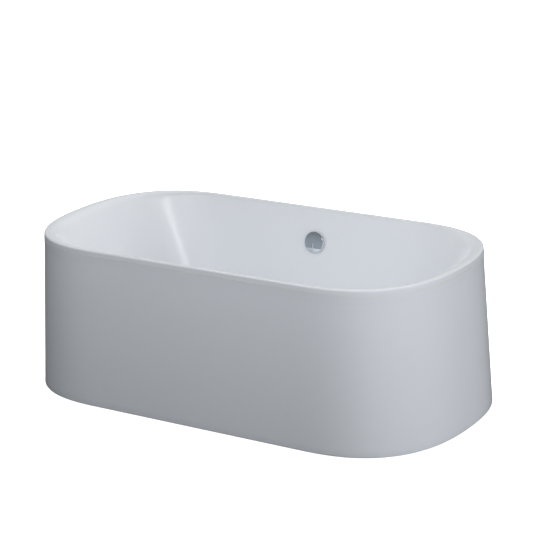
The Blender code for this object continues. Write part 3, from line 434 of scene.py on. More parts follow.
# A darker, bluer copy of the white acrylic, as painted shade: the tub's outer faces take it so that they read darker
# than the lit inside.
acrylic_painted_shade = acrylic_look("white_acrylic_painted_shade", (0.728, 0.762, 0.812, 1), (0.748, 0.780, 0.832, 1), 1.0, 0.0)
add_sheet(basin, SHEET, acrylic, backing)
basin.data.materials.append(acrylic_painted_shade)
# The outer faces of the basin's lip take the painted-shade copy too, so that lip and skirt read as one shaded shell.
for face in basin.data.polygons:
    outwards = face.normal.x * face.center.x + face.normal.y * face.center.y > 0
    if face.material_index == 0 and outwards and face.normal.z < 0.6 and face.center.z > TUB_HEIGHT - LIP_DEPTH - SHEET:
        face.material_index = 2
drill(basin, OVERFLOW_HOLE, 0.03, OVERFLOW_MATRIX)
bpy.ops.object.shade_smooth_by_angle(angle=math.radians(40))
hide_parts("basin_shell")
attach(basin, "tub")

# ---- Base board -----------------------------------------------------------------------------------------------
# A flat board under the basin's floor, laminated in with resin, with a round opening for the waste. It spreads the
# bather's weight on to the frame.


def refined(node, name, look, body="tub", edge=0.0004, steps=2, smooth=35):
    """A finished copy of a CAD node: doubles merged, flat faces joined, and its sharp edges eased."""
    select_none()
    source = bpy.data.objects[node]
    piece = bpy.data.objects.new(name, source.data.copy())
    piece.data.name = name
    bpy.context.scene.collection.objects.link(piece)
    piece.matrix_world = source.matrix_world.copy()
    piece.select_set(True)
    bpy.context.view_layer.objects.active = piece
    piece.data.materials.clear()
    piece.data.materials.append(look)
    bpy.ops.object.mode_set(mode="EDIT")
    bpy.ops.mesh.select_all(action="SELECT")
    bpy.ops.mesh.remove_doubles(threshold=0.00001)
    bpy.ops.mesh.dissolve_limited(angle_limit=math.radians(1.0))
    bpy.ops.object.mode_set(mode="OBJECT")
    if edge:
        eased = piece.modifiers.new("eased", "BEVEL")
        eased.width = edge
        eased.segments = steps
        eased.limit_method = "ANGLE"
        eased.angle_limit = math.radians(40)
        eased.use_clamp_overlap = True
    apply_all(piece)
    bpy.ops.object.shade_smooth_by_angle(angle=math.radians(smooth))
    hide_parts(node)
    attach(piece, body)
    return piece


def board_look():
    """Chipboard soaked in resin: brown chips under a patchy, half-gloss skin with drips."""
    made, tree, shader, where = new_look("resin_board", 0.4)
    point = where.outputs["Object"]
    chips = put(tree, "TexVoronoi", None, Vector=point, Scale=150.0, Randomness=1.0)
    long_chips = put(tree, "TexNoise", None, Vector=point, Scale=60.0, Detail=6.0, Roughness=0.7)
    wood = blend_colour(tree, long_chips.outputs[0], (0.30, 0.20, 0.11, 1), (0.52, 0.39, 0.23, 1))
    chip_shade = put(tree, "SeparateColor", None, Color=chips.outputs["Color"])
    chip_tint = blend_colour(tree, chip_shade.outputs[0], wood, (0.46, 0.34, 0.20, 1))
    touched = use(tree, handling, Vector=point, Size=9.0, Stretch=1.0)
    colour = blend_colour(tree, touched.outputs["Patches"], chip_tint, (0.50, 0.44, 0.30, 1))
    tree.links.new(colour, shader.inputs["Base Color"])
    vary(tree, shader, touched.outputs["Patches"], 0.6, 0.25)
    relief = sum_of(tree, "ADD", long_chips.outputs[0], chips.outputs["Distance"])
    bump(tree, shader, relief, 0.6, 0.0006)
    return made


board = refined("base_board", "resin_board", board_look(), edge=0.002, steps=3)

# ---- Frame ----------------------------------------------------------------------------------------------------
# Two long rails screwed up into the board and two cross rails under them, all galvanised square steel tube with
# open ends. The hexagon screws go in from below.


def galvanised_look():
    """Hot-dip zinc: crystals of differing greys with soft borders, a few bright edges and white bloom."""
    made, tree, shader, where = new_look("galvanised", 0.4, metallic=1.0)
    point = where.outputs["Object"]
    warp = put(tree, "TexNoise", None, Vector=point, Scale=40.0, Detail=2.0)
    nudge = put(tree, "VectorMath", {"operation": "MULTIPLY_ADD"}, slot0=warp.outputs["Color"],
                slot1=(0.012, 0.012, 0.012), slot2=point)
    spangle = put(tree, "TexVoronoi", None, Vector=nudge.outputs[0], Scale=130.0)
    shade = put(tree, "SeparateColor", None, Color=spangle.outputs["Color"])
    zinc = blend_colour(tree, shade.outputs[0], (0.44, 0.46, 0.48, 1), (0.68, 0.70, 0.72, 1))
    bloom = put(tree, "TexNoise", None, Vector=point, Scale=18.0, Detail=8.0, Roughness=0.7)
    bloom_mask = put(tree, "MapRange", None, Value=bloom.outputs[0], From_Min=0.56, From_Max=0.72, To_Max=0.6)
    tree.links.new(blend_colour(tree, bloom_mask.outputs[0], zinc, (0.74, 0.75, 0.74, 1)), shader.inputs["Base Color"])
    rough = sum_of(tree, "MULTIPLY_ADD", shade.outputs[1], 0.16, 0.30)
    rough = sum_of(tree, "MULTIPLY_ADD", bloom_mask.outputs[0], 0.4, rough)
    tree.links.new(rough, shader.inputs["Roughness"])
    bump(tree, shader, spangle.outputs["Distance"], 0.25, 0.0004)
    return made


galvanised = galvanised_look()
for node in ("long_rail_front", "long_rail_back", "cross_rail_left", "cross_rail_right"):
    refined(node, node + "_tube", galvanised, edge=0.0006)
for number in range(1, 5):
    refined(f"frame_screw_{number}", f"frame_screw_{number}_hex", galvanised, edge=0.0003)

# ---- Feet -----------------------------------------------------------------------------------------------------
# Four levelling feet: a ribbed black nylon pad, a zinc-plated M12 stud that turns in it by its hexagon, a nut
# welded under the cross rail, and a lock nut on top.

PITCH = 0.00175
THREAD_TOP, THREAD_ROOT = 0.0058, 0.00485
STUD_FOOT, STUD_TOP = 0.0085, 0.140
HEX_LOW, HEX_HIGH, HEX_RADIUS = 0.0225, 0.0325, 0.0090
PAD_RADIUS, PAD_RIBS = 0.025, 16


def turned_piece(name, profile, look, sides=64, matrix=None, edge=0.0, smooth=35):
    """A round piece drawn as on a lathe: a ring extruded and resized through (radius, height) points."""
    tiny = 1e-6
    select_none()
    bpy.ops.mesh.primitive_circle_add(vertices=sides, radius=max(profile[0][0], tiny), fill_type="NOTHING")
    piece = bpy.context.object
    piece.name = piece.data.name = name
    bpy.ops.object.mode_set(mode="EDIT")
    bpy.ops.transform.translate(value=(0, 0, profile[0][1]))
    for (last_radius, last_height), (radius, height) in zip(profile, profile[1:]):
        bpy.ops.mesh.extrude_edges_move()
        stretch = max(radius, tiny) / max(last_radius, tiny)
        bpy.ops.transform.resize(value=(stretch, stretch, 1), center_override=(0, 0, last_height))
        bpy.ops.transform.translate(value=(0, 0, height - last_height))
    bpy.ops.mesh.select_all(action="SELECT")
    bpy.ops.mesh.remove_doubles(threshold=0.00001)
    bpy.ops.mesh.normals_make_consistent(inside=False)
    bpy.ops.object.mode_set(mode="OBJECT")
    if edge:
        eased = piece.modifiers.new("eased", "BEVEL")
        eased.width = edge
        eased.segments = 3
        eased.limit_method = "ANGLE"
        eased.angle_limit = math.radians(35)
        apply_all(piece)
    settle(piece, matrix)
    bpy.ops.object.shade_smooth_by_angle(angle=math.radians(smooth))
    if look:
        piece.data.materials.append(look)
    return piece


def join_pieces(pieces):
    """Joins pieces into the first."""
    select_none()
    for piece in pieces:
        piece.select_set(True)
    bpy.context.view_layer.objects.active = pieces[0]
    bpy.ops.object.join()
    return pieces[0]


def hand_over(piece, body, slot_name, *nodes):
    """Hides the nodes that a finished piece replaces and puts it on the body it rides on; its finish, slot_name, is not
    used.
    """
    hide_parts(*nodes)
    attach(piece, body)


def rolled_thread(name, low, high, look):
    """A V thread swept as a helix round a root, fading into the root at both ends."""
    turns = int((high - low) / PITCH) - 1
    select_none()
    bpy.ops.mesh.primitive_circle_add(vertices=3, radius=0.001, fill_type="NOTHING")
    thread = bpy.context.object
    thread.name = thread.data.name = name
    drawn = bmesh.new()
    flank = ((THREAD_ROOT, 0.0), (THREAD_TOP, 0.40), (THREAD_TOP, 0.52), (THREAD_ROOT, 0.92), (THREAD_ROOT, 1.0))
    verts = [drawn.verts.new((radius, 0, low + share * PITCH)) for radius, share in flank]
    for pair in zip(verts, verts[1:]):
        drawn.edges.new(pair)
    drawn.to_mesh(thread.data)
    drawn.free()
    helix = thread.modifiers.new("helix", "SCREW")
    helix.screw_offset = PITCH
    helix.iterations = turns
    helix.steps = helix.render_steps = 20
    apply_all(thread)
    bpy.ops.object.mode_set(mode="EDIT")
    bpy.ops.mesh.select_all(action="SELECT")
    bpy.ops.mesh.remove_doubles(threshold=0.00001)
    drawn = bmesh.from_edit_mesh(thread.data)
    top = max(vert.co.z for vert in drawn.verts)
    for vert in drawn.verts:
        spare = min(vert.co.z - low, top - vert.co.z) / PITCH
        radius = math.hypot(vert.co.x, vert.co.y)
        fade = min(1.0, spare)
        inner = THREAD_ROOT - 0.0002
        wanted = inner + (radius - inner) * fade
        vert.co.x *= wanted / radius
        vert.co.y *= wanted / radius
    bmesh.update_edit_mesh(thread.data)
    face_the_room(thread, lambda centre: Vector((centre.x, centre.y, 0)))
    bpy.ops.object.shade_smooth_by_angle(angle=math.radians(30))
    thread.data.materials.append(look)
    return thread


def plastic_look(name, dark, pale, roughness, dusty=0.25):
    """Moulded plastic: fine spark-eroded grain, slightly uneven colour and a little dust."""
    made, tree, shader, where = new_look(name, roughness)
    point = where.outputs["Object"]
    moulded = use(tree, grain, Vector=point, Size=1500.0, Pits=0.4)
    touched = use(tree, handling, Vector=point, Size=18.0, Stretch=0.6)
    colour = blend_colour(tree, touched.outputs["Patches"], dark, pale)
    settled = use(tree, dust, Vector=point, Normal=where.outputs["Normal"], Amount=dusty)
    tree.links.new(blend_colour(tree, settled.outputs["Mask"], colour, (0.45, 0.44, 0.42, 1)),
                   shader.inputs["Base Color"])
    vary(tree, shader, touched.outputs["Wipes"], roughness - 0.08, roughness + 0.1)
    bump(tree, shader, moulded.outputs["Height"], 0.25, 0.0002)
    return made


black_plastic = plastic_look("black_plastic", (0.012, 0.012, 0.013, 1), (0.03, 0.03, 0.032, 1), 0.42)
white_plastic = plastic_look("white_plastic", (0.66, 0.67, 0.66, 1), (0.76, 0.76, 0.75, 1), 0.38, 0.15)

foot_spots = [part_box(f"foot_pad_{number}") for number in range(1, 5)]
foot_spots = [((low.x + high.x) / 2, (low.y + high.y) / 2) for low, high in foot_spots]
for number, (x, y) in enumerate(foot_spots, 1):
    here = Matrix.Translation((x, y, 0))
    pad = turned_piece(
        f"foot_pad_{number}_ribbed",
        [(0, 0.0082), (0.0059, 0.0082), (0.0061, 0.0085), (0.0061, 0.0197), (0.0064, 0.0200), (0.0094, 0.0200),
         (0.0099, 0.0195), (0.0106, 0.0160), (0.0119, 0.0100), (0.0150, 0.0085), (0.0232, 0.0062), (0.0244, 0.0055),
         (PAD_RADIUS, 0.0040), (PAD_RADIUS, 0.0008), (0.0242, 0.0), (0.0215, 0.0), (0.0210, 0.0008), (0.0190, 0.0008),
         (0.0185, 0.0), (0, 0.0)],
        black_plastic,
    )
    ribs = [pad]
    for rib_number in range(PAD_RIBS):
        select_none()
        bpy.ops.mesh.primitive_cube_add(size=1)
        rib = bpy.context.object
        bpy.ops.object.mode_set(mode="EDIT")
        bpy.ops.transform.resize(value=(0.0115, 0.0012, 0.0060), center_override=(0, 0, 0))
        drawn = bmesh.from_edit_mesh(rib.data)
        for vert in drawn.verts:
            if vert.co.z > 0 and vert.co.x > 0:
                vert.co.z -= 0.0052
        bmesh.update_edit_mesh(rib.data)
        bpy.ops.mesh.select_all(action="SELECT")
        bpy.ops.mesh.bevel(offset=0.0002, segments=1)
        bpy.ops.transform.translate(value=(0.0168, 0, 0.0095))
        bpy.ops.object.mode_set(mode="OBJECT")
        settle(rib, Matrix.Rotation(2 * math.pi * rib_number / PAD_RIBS, 4, "Z"))
        rib.data.materials.append(black_plastic)
        ribs.append(rib)
    pad = join_pieces(ribs)
    settle(pad, here)
    hand_over(pad, f"foot_{number}", "black_plastic", f"foot_pad_{number}")

    core = turned_piece(
        f"foot_stud_{number}_threaded",
        [(0, STUD_FOOT), (0.0040, STUD_FOOT), (THREAD_ROOT, STUD_FOOT + 0.0009), (THREAD_ROOT, STUD_TOP - 0.0009),
         (0.0040, STUD_TOP), (0, STUD_TOP)],
        galvanised,
        sides=32,
    )
    hexagon = turned_piece(
        "hexagon",
        [(0.0040, HEX_LOW), (0.0078, HEX_LOW), (HEX_RADIUS, HEX_LOW + 0.0007), (HEX_RADIUS, HEX_HIGH - 0.0007),
         (0.0078, HEX_HIGH), (0.0040, HEX_HIGH)],
        galvanised,
        sides=6,
        smooth=10,
    )
    stud = join_pieces([core, rolled_thread("lower_thread", STUD_FOOT + 0.001, HEX_LOW, galvanised), hexagon,
                        rolled_thread("upper_thread", HEX_HIGH, STUD_TOP - 0.001, galvanised)])
    settle(stud, here)
    hand_over(stud, f"stud_{number}", "galvanised_steel", f"foot_stud_{number}")
    for node in (f"weld_nut_{number}", f"lock_nut_{number}"):
        refined(node, node + "_hex", galvanised, edge=0.0006, steps=2)

# ---- Skirt ----------------------------------------------------------------------------------------------------
# The dry outer shell, in the same acrylic but drawn in a darker, bluer copy of its white as painted shade, so that
# its faces read darker than the lit inside: a straight flare from under the basin's lip to just clear of the floor,
# with a narrow flange turned in at its foot. It is bonded behind the lip with a strip of laminate, the joint is filled
# and rubbed flush, and folded brackets tie its foot to the frame.

LIP_STEP = 0.001
SKIRT_FOOT = 0.002
SKIRT_TOP = lip_foot - 0.0004
FOOT_ROUND = 0.004
skirt_rings = []
foot_length, foot_width = (size - LIP_STEP for size in outer_skin(SKIRT_FOOT))
skirt_rings.append((foot_length - 0.018, foot_width - 0.018, SKIRT_FOOT, SKIRT_FOOT))
for step in range(7):
    angle = math.pi / 2 * step / 6
    height = SKIRT_FOOT + FOOT_ROUND * (1 - math.cos(angle))
    back = FOOT_ROUND * (1 - math.sin(angle))
    skirt_rings.append((foot_length - back, foot_width - back, height, height))
for step in range(1, 25):
    height = SKIRT_FOOT + FOOT_ROUND + (SKIRT_TOP - SKIRT_FOOT - FOOT_ROUND) * step / 24
    half_length, half_width = outer_skin(height)
    skirt_rings.append((half_length - LIP_STEP, half_width - LIP_STEP, height, height))


skirt = shell_outline("skirt", *skirt_rings[0][:2], 0)
shell_rings(skirt, skirt_rings)
face_the_room(skirt, lambda centre: Vector((centre.x, centre.y, 0)))
# The skirt's face takes the painted-shade copy of the acrylic.
add_sheet(skirt, SHEET, acrylic_painted_shade, backing)
hand_over(skirt, "tub", "white_acrylic", "outer_skirt")

FILLER_TOP = 0.003
FILLER_FOOT = 0.030
FILLER_PROUD = 0.00005
filler_rings = []
for step in range(25):
    height = lip_foot + FILLER_TOP - (FILLER_TOP + FILLER_FOOT) * step / 24
    half_length, half_width = outer_skin(height)
    share = max(0.0, (step - 4) / 20)
    back = (LIP_STEP - FILLER_PROUD / 2) * share**2 * (3 - 2 * share) - FILLER_PROUD * (1 - share)
    filler_rings.append((half_length - back, half_width - back, height, height))
filler = shell_outline("joint_filler", *filler_rings[0][:2], 0)
shell_rings(filler, filler_rings)
face_the_room(filler, lambda centre: Vector((centre.x, centre.y, 0)))
# The filler takes the painted-shade copy of the acrylic on both faces, like the skirt.
add_sheet(filler, 0.0006, acrylic_painted_shade, acrylic_painted_shade)
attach(filler, "tub")

refined("bonding_strip", "bonding_strip_laminate", backing, edge=0.0005)
for number in range(1, 5):
    refined(f"skirt_bracket_{number}", f"skirt_bracket_{number}_folded", galvanised)
    refined(f"bracket_bolt_{number}", f"bracket_bolt_{number}_hex", galvanised)

# ---- Overflow -------------------------------------------------------------------------------------------------
# The chrome turn-knob high on the back wall, on its collar; behind the wall a plastic body that drains the
# overflow and holds the brass spindle and the cable wheel. The knob is a shallow polished dome with a finger rib
# and a disc let into its face, cut straight below, which leaves a bright crescent of the chrome at its foot. The
# disc is a darker grey satin metal as a painted reflection: it stands in for the dark room mirrored in the knob's face.

KNOB_RADIUS = 0.0420
KNOB_FACE = 0.0130
DOME_RADIUS = 0.210
DISC_RADIUS = 0.0388
DISC_CHORD = -0.0215


def metal_look(name, dark, pale, rough_low, rough_high, scratch=0.15):
    """Polished or plated metal: water spots and wiping in its gloss, hair scratches, a little tarnish."""
    made, tree, shader, where = new_look(name, rough_low, metallic=1.0)
    point = where.outputs["Object"]
    touched = use(tree, handling, Vector=point, Size=30.0, Stretch=0.3)
    tree.links.new(blend_colour(tree, touched.outputs["Patches"], dark, pale), shader.inputs["Base Color"])
    vary(tree, shader, touched.outputs["Wipes"], rough_low, rough_high)
    hair = put(tree, "Mapping", None, Vector=point, Rotation=(0.4, 0.2, 0.9), Scale=(1.0, 14.0, 1.0))
    lines = put(tree, "TexNoise", None, Vector=hair.outputs[0], Scale=260.0, Detail=4.0)
    bump(tree, shader, lines.outputs[0], scratch, 0.00004)
    return made


chrome = metal_look("chrome", (0.78, 0.81, 0.84, 1), (0.84, 0.87, 0.90, 1), 0.05, 0.11)
# A darker grey satin metal, as a painted reflection: it stands in for the dark room mirrored in the knob's upper face.
satin_chrome_painted_reflection = metal_look("satin_chrome_painted_reflection", (0.455, 0.500, 0.545, 1), (0.510, 0.555, 0.600, 1), 0.38, 0.48)
brass = metal_look("brass", (0.62, 0.42, 0.16, 1), (0.76, 0.56, 0.26, 1), 0.18, 0.36, 0.3)
rubber = plastic_look("rubber", (0.018, 0.018, 0.018, 1), (0.045, 0.044, 0.043, 1), 0.62, 0.35)


def dome(radius):
    """The dome's height off the wall at a distance from its centre."""
    return KNOB_FACE + 0.0025 - radius**2 / (2 * DOME_RADIUS)


knob_profile = [(0.0, dome(0))]
knob_profile += [(radius / 1000, dome(radius / 1000)) for radius in range(3, 37, 3)]
knob_profile += [(0.0380, 0.01195), (0.0394, 0.0113), (0.0406, 0.0102), (0.0414, 0.0087), (KNOB_RADIUS, 0.0068),
                 (0.0419, 0.0054), (0.0415, 0.0050), (0.0399, 0.0050), (0.0395, 0.0053), (0.0390, 0.0066),
                 (0.0340, 0.0090), (0.0110, 0.0100), (0.0090, 0.0090), (0.0088, 0.0048), (0.0085, 0.0045), (0, 0.0045)]
knob = turned_piece("overflow_knob_cap", knob_profile, chrome, sides=96)

disc_profile = [(0.0, DOME_RADIUS + 0.0004)]
for step in range(1, 13):
    angle = DISC_RADIUS / DOME_RADIUS * step / 12
    radius = DOME_RADIUS + (0.0004 if step < 12 else 0.0002)
    disc_profile.append((radius * math.sin(angle), radius * math.cos(angle)))
edge_angle = DISC_RADIUS / DOME_RADIUS * 1.004
disc_profile.append(((DOME_RADIUS - 0.0006) * math.sin(edge_angle), (DOME_RADIUS - 0.0006) * math.cos(edge_angle)))
disc_profile.append((0, (DOME_RADIUS - 0.0006) * math.cos(edge_angle)))
to_dome = Matrix.Translation((0, 0, dome(0) - DOME_RADIUS))
# The disc takes the darker satin metal that paints the knob's dark reflection.
disc = turned_piece("knob_disc_painted_reflection", disc_profile, satin_chrome_painted_reflection, sides=96, matrix=to_dome)
bpy.ops.object.mode_set(mode="EDIT")
bpy.ops.mesh.select_all(action="SELECT")
bpy.ops.mesh.bisect(plane_co=(0, DISC_CHORD, 0), plane_no=(0, 1, 0), use_fill=True, clear_inner=True)
bpy.ops.object.mode_set(mode="OBJECT")

select_none()
bpy.ops.mesh.primitive_cube_add(size=1)
rib = bpy.context.object
rib.name = rib.data.name = "knob_rib"
bpy.ops.object.mode_set(mode="EDIT")
bpy.ops.transform.resize(value=(0.0052, 0.026, 0.0060), center_override=(0, 0, 0))
bpy.ops.transform.translate(value=(0, -0.0125, 0.0155))
drawn = bmesh.from_edit_mesh(rib.data)
for vert in drawn.verts:
    if vert.co.z > 0.0155:
        vert.co.x *= 0.62
        vert.co.z -= 0.0022 if vert.co.y < -0.01 else 0.0
bmesh.update_edit_mesh(rib.data)
bpy.ops.mesh.select_all(action="SELECT")
bpy.ops.mesh.bevel(offset=0.0011, segments=4, clamp_overlap=True)
bpy.ops.object.mode_set(mode="OBJECT")
bpy.ops.object.shade_smooth_by_angle(angle=math.radians(50))
rib.data.materials.append(chrome)
knob = join_pieces([knob, disc, rib])
settle(knob, OVERFLOW_MATRIX)
hand_over(knob, "knob", "chrome", "overflow_knob")

rosette = turned_piece(
    "overflow_collar",
    [(0.0235, 0.0004), (0.0235, -0.0150), (0.0205, -0.0150), (0.0205, 0.0029), (0.0208, 0.0032), (0.0232, 0.0033),
     (0.0290, 0.0032), (0.0335, 0.0030), (0.0347, 0.0026), (0.0354, 0.0017), (0.0355, 0.0008), (0.0355, 0.0004),
     (0.0235, 0.0004)],
    chrome,
    sides=96,
    matrix=OVERFLOW_MATRIX,
)
hand_over(rosette, "tub", "chrome", "overflow_rosette")
refined("overflow_spindle", "overflow_spindle_square", brass, body="knob")
refined("cable_wheel", "cable_wheel_grooved", white_plastic, body="knob", edge=0.0002)
refined("overflow_body", "overflow_body_moulded", black_plastic, edge=0.0004)
refined("overflow_gasket", "overflow_gasket_ring", rubber, edge=0.0003)

# ---- Waste ----------------------------------------------------------------------------------------------------
# A chrome pop-up waste in the lowest point of the floor: a dished flange that screws down into the body, a domed
# plug with its seal on a brass stem, and the lever inside the body that lifts it when the knob is turned.

waste_flange = refined("waste_flange", "waste_flange_dished", chrome, edge=0.0003, steps=3, smooth=40)
plug = turned_piece(
    "waste_plug_domed",
    [(0, 0.0072)] + [(radius / 1000, 0.0072 - (radius / 1000) ** 2 / 0.195) for radius in range(2, 25, 2)]
    + [(0.0252, 0.0038), (0.0260, 0.0033), (0.0264, 0.0026), (0.0263, 0.0019), (0.0258, 0.0014), (0.0240, 0.0009),
       (0.0222, 0.0004), (0.0060, 0.0002), (0.0060, -0.0058), (0.0058, -0.0060), (0, -0.0060)],
    chrome,
    sides=96,
    matrix=Matrix.Translation((0, 0, FLOOR_Z)),
)
hand_over(plug, "plug", "chrome", "waste_plug")
refined("plug_seal", "plug_seal_ring", rubber, body="plug", edge=0.0005, steps=3)
refined("plug_stem", "plug_stem_turned", brass, body="plug", edge=0.0004)
refined("waste_gasket", "waste_gasket_ring", rubber, edge=0.0003)
refined("waste_body", "waste_body_moulded", black_plastic, edge=0.0004)
refined("lift_lever", "lift_lever_moulded", white_plastic, body="lever", edge=0.0003)
refined("lever_shaft", "lever_shaft_turned", brass, body="lever", edge=0.0003)
refined("crank_arm", "crank_arm_moulded", white_plastic, body="lever", edge=0.0003)

# ---- Cable ----------------------------------------------------------------------------------------------------
# The Bowden cable from the knob's wheel to the crank: a black sheath held at both ends, a steel ferrule in the
# waste body's bracket, and the inner wire with its nipple, which slides.

refined("cable_sheath", "cable_sheath_drawn", black_plastic, edge=0.0, smooth=50)
refined("cable_ferrule", "cable_ferrule_turned", galvanised, edge=0.0002)
refined("cable_wire", "cable_wire_drawn", galvanised, body="cable_core", edge=0.0002)

# ---- Hose and trap --------------------------------------------------------------------------------------------
# A corrugated hose, clipped on a plain cuff at each end, takes the overflow down behind the wall to the waste
# body. Below the waste a black trap turns round and up to its outlet.

HOSE_RADIUS, HOSE_WALL = 0.0125, 0.0013
CUFF = 0.024
RING_PITCH = 0.0052
INLET_Z = 0.1145
SPIGOT_DEPTH = -0.0205
hose_route = [OVERFLOW_MATRIX @ Vector((0, along, SPIGOT_DEPTH)) for along in (-0.0365, -0.060, -0.074)]
hose_route += [Vector(point) for point in (
    (0, 0.3940, 0.310), (0, 0.3930, 0.240), (0, 0.3780, 0.175), (0, 0.3360, 0.125), (0, 0.2700, 0.1000),
    (0, 0.1900, 0.0970), (0, 0.1250, 0.1070), (0, 0.0860, INLET_Z), (0, 0.0660, INLET_Z), (0, 0.0420, INLET_Z))]


def smooth_route(points, steps):
    """A Catmull-Rom curve through the points."""
    out = []
    for number in range(len(points) - 1):
        before = points[max(0, number - 1)]
        start, end = points[number], points[number + 1]
        after = points[min(len(points) - 1, number + 2)]
        for step in range(steps):
            t = step / steps
            out.append(0.5 * (2 * start + (end - before) * t + (2 * before - 5 * start + 4 * end - after) * t**2
                              + (3 * start - before - 3 * end + after) * t**3))
    out.append(points[-1])
    return out


hose_line = smooth_route(hose_route, 12)
hose_length = sum((after - before).length for before, after in zip(hose_line, hose_line[1:]))
curve = bpy.data.curves.new("hose_line", "CURVE")
curve.dimensions = "3D"
curve.twist_mode = "Z_UP"
spline = curve.splines.new("POLY")
spline.points.add(len(hose_line) - 1)
for spot, place in zip(spline.points, hose_line):
    spot.co = (*place, 1)
guide = bpy.data.objects.new("hose_line", curve)
bpy.context.scene.collection.objects.link(guide)
outside = [(HOSE_RADIUS, 0.0), (HOSE_RADIUS, CUFF)]
rings = int((hose_length - 2 * CUFF) / RING_PITCH)
for ring in range(rings):
    start = CUFF + (hose_length - 2 * CUFF) * ring / rings
    for share, radius in ((0.20, HOSE_RADIUS), (0.38, HOSE_RADIUS), (0.52, HOSE_RADIUS - 0.0010),
                          (0.64, HOSE_RADIUS - 0.0013), (0.80, HOSE_RADIUS - 0.0010), (0.95, HOSE_RADIUS)):
        outside.append((radius, start + share * (hose_length - 2 * CUFF) / rings))
outside += [(HOSE_RADIUS, hose_length - CUFF), (HOSE_RADIUS, hose_length)]
inside = [(radius - HOSE_WALL, along) for radius, along in reversed(outside)]
hose = turned_piece("overflow_hose_corrugated", outside + inside + outside[:1], white_plastic, sides=32)
select_none()
hose.rotation_euler = (0, math.pi / 2, 0)
settle(hose)
bend = hose.modifiers.new("bend", "CURVE")
bend.object = guide
bend.deform_axis = "POS_X"
apply_all(hose)
bpy.data.objects.remove(guide)
hand_over(hose, "tub", "white_plastic", "overflow_hose")
for node in ("hose_clip_upper", "hose_clip_lower"):
    refined(node, node + "_band", galvanised, edge=0.0003)
refined("trap_bend", "trap_bend_moulded", black_plastic, edge=0.0, smooth=50)
refined("trap_nut", "trap_nut_ribbed", black_plastic, edge=0.0006)

# ---- Studio ---------------------------------------------------------------------------------------------------
# A white floor plane and world, with eight softboxes set round the tub.

scene = bpy.context.scene
scene.view_settings.view_transform = "Standard"
world = bpy.data.worlds.new("studio")
scene.world = world
world.use_nodes = True
nodes, links = world.node_tree.nodes, world.node_tree.links
nodes.clear()
world_out = nodes.new("ShaderNodeOutputWorld")
seen = nodes.new("ShaderNodeBackground")
seen.inputs["Color"].default_value = (1, 1, 1, 1)
seen.inputs["Strength"].default_value = 1.0
upper = nodes.new("ShaderNodeBackground")
upper.name = "upper"
upper.inputs["Color"].default_value = (0.93, 0.97, 1.0, 1)
upper.inputs["Strength"].default_value = 0.04
lower = nodes.new("ShaderNodeBackground")
lower.name = "lower"
lower.inputs["Color"].default_value = (0.93, 0.97, 1.0, 1)
lower.inputs["Strength"].default_value = 0.43
mirrored = nodes.new("ShaderNodeBackground")
mirrored.name = "mirrored"
mirrored.inputs["Color"].default_value = (0.93, 0.97, 1.0, 1)
mirrored.inputs["Strength"].default_value = 0.20
above = nodes.new("ShaderNodeMixShader")
bearing = nodes.new("ShaderNodeTexCoord")
parts = nodes.new("ShaderNodeSeparateXYZ")
rise = nodes.new("ShaderNodeMapRange")
rise.interpolation_type = "SMOOTHSTEP"
rise.inputs["From Min"].default_value = -0.15
rise.inputs["From Max"].default_value = 0.45
sky = nodes.new("ShaderNodeMixShader")
path = nodes.new("ShaderNodeLightPath")
pick = nodes.new("ShaderNodeMixShader")
links.new(bearing.outputs["Generated"], parts.inputs["Vector"])
links.new(parts.outputs["Z"], rise.inputs["Value"])
links.new(rise.outputs["Result"], sky.inputs["Fac"])
links.new(lower.outputs["Background"], sky.inputs[1])
links.new(path.outputs["Is Glossy Ray"], above.inputs["Fac"])
links.new(upper.outputs["Background"], above.inputs[1])
links.new(mirrored.outputs["Background"], above.inputs[2])
links.new(above.outputs["Shader"], sky.inputs[2])
links.new(path.outputs["Is Camera Ray"], pick.inputs["Fac"])
links.new(sky.outputs["Shader"], pick.inputs[1])
links.new(seen.outputs["Background"], pick.inputs[2])
links.new(pick.outputs["Shader"], world_out.inputs["Surface"])

select_none()
bpy.ops.mesh.primitive_plane_add(size=60, location=(0, 0, -0.0005))
floor = bpy.context.object
floor.name = "studio_floor"
floor_look = bpy.data.materials.new("studio_floor")
floor_look.use_nodes = True
nodes, links = floor_look.node_tree.nodes, floor_look.node_tree.links
nodes.clear()
floor_out = nodes.new("ShaderNodeOutputMaterial")
lit = nodes.new("ShaderNodeBsdfDiffuse")
lit.inputs["Color"].default_value = (0.9, 0.9, 0.9, 1)
glow = nodes.new("ShaderNodeEmission")
glow.inputs["Strength"].default_value = 0.97
shown = nodes.new("ShaderNodeAddShader")
bounce = nodes.new("ShaderNodeBsdfDiffuse")
bounce.inputs["Color"].default_value = (0.06, 0.062, 0.066, 1)
path = nodes.new("ShaderNodeLightPath")
pick = nodes.new("ShaderNodeMixShader")
links.new(lit.outputs["BSDF"], shown.inputs[0])
links.new(glow.outputs["Emission"], shown.inputs[1])
links.new(path.outputs["Is Camera Ray"], pick.inputs["Fac"])
links.new(bounce.outputs["BSDF"], pick.inputs[1])
links.new(shown.outputs["Shader"], pick.inputs[2])
links.new(pick.outputs["Shader"], floor_out.inputs["Surface"])
floor.data.materials.append(floor_look)


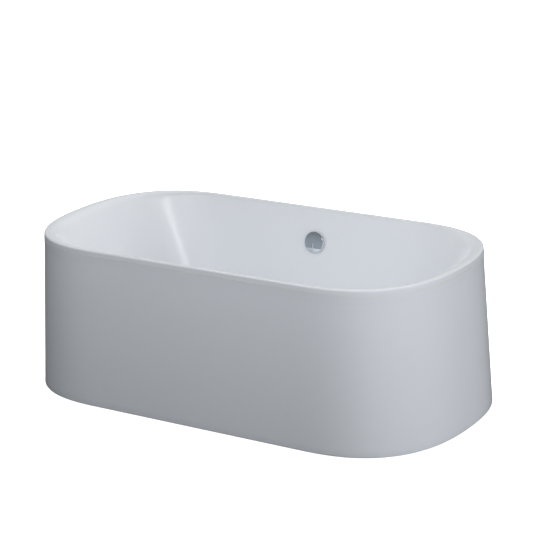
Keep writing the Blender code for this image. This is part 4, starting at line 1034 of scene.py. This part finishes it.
def softbox(name, azimuth, elevation, distance, size, power, shows=True, tilt=0):
    """An area light at a bearing round the tub (0 in front, 90 at the right end), turned to face it."""
    aim = Vector((0, 0, 0.35))
    lamp = bpy.data.lights.new(name, "AREA")
    lamp.shape = "RECTANGLE"
    lamp.size, lamp.size_y = size
    lamp.energy = power
    box = bpy.data.objects.new(name, lamp)
    scene.collection.objects.link(box)
    turn, rise = math.radians(azimuth), math.radians(elevation)
    back = Vector((math.sin(turn) * math.cos(rise), -math.cos(turn) * math.cos(rise), math.sin(rise)))
    box.location = aim + back * distance
    box.rotation_mode = "QUATERNION"
    box.rotation_quaternion = (-back).to_track_quat("-Z", "Y") @ Quaternion((0, 0, 1), math.radians(tilt))
    box.visible_camera = False
    box.visible_glossy = shows


softbox("key", 44, 33, 5.0, (0.32, 1.6), 27, tilt=50)
softbox("front", 0, 36, 2.8, (2.0, 1.4), 21, shows=False)
softbox("front_high", 10, 60, 3.0, (2.0, 1.0), 8, shows=False)
softbox("right_front", 60, 28, 3.2, (1.6, 1.6), 14, shows=False)
softbox("right", 92, 7, 5.0, (2.0, 1.4), 84, shows=False)
softbox("left", -112, 32, 5.0, (2.0, 2.0), 70, shows=False)
softbox("left_front", -45, 25, 5.0, (2.0, 2.0), 13, shows=False)
softbox("back", 190, 40, 4.0, (3.0, 2.0), 90, shows=False)

# Camera.
CAMERA_PLACE = Vector((3.8533, -5.8439, 2.6491))
CAMERA_AZIMUTH = math.radians(33.033)
CAMERA_ELEVATION = math.radians(17.494)
CAMERA_ROLL = math.radians(-1.834)
back = Vector(
    (
        math.sin(CAMERA_AZIMUTH) * math.cos(CAMERA_ELEVATION),
        -math.cos(CAMERA_AZIMUTH) * math.cos(CAMERA_ELEVATION),
        math.sin(CAMERA_ELEVATION),
    )
)
level = (-back).cross(Vector((0, 0, 1))).normalized()
upright = level.cross(-back)
right = level * math.cos(CAMERA_ROLL) + upright * math.sin(CAMERA_ROLL)
up = upright * math.cos(CAMERA_ROLL) - level * math.sin(CAMERA_ROLL)
lens = bpy.data.cameras.new("camera")
lens.lens = 134.12
lens.sensor_width = 36
lens.clip_end = 100
camera = bpy.data.objects.new("camera", lens)
scene.collection.objects.link(camera)
camera.matrix_world = Matrix.Translation(CAMERA_PLACE) @ Matrix((right, up, back)).transposed().to_4x4()
scene.camera = camera
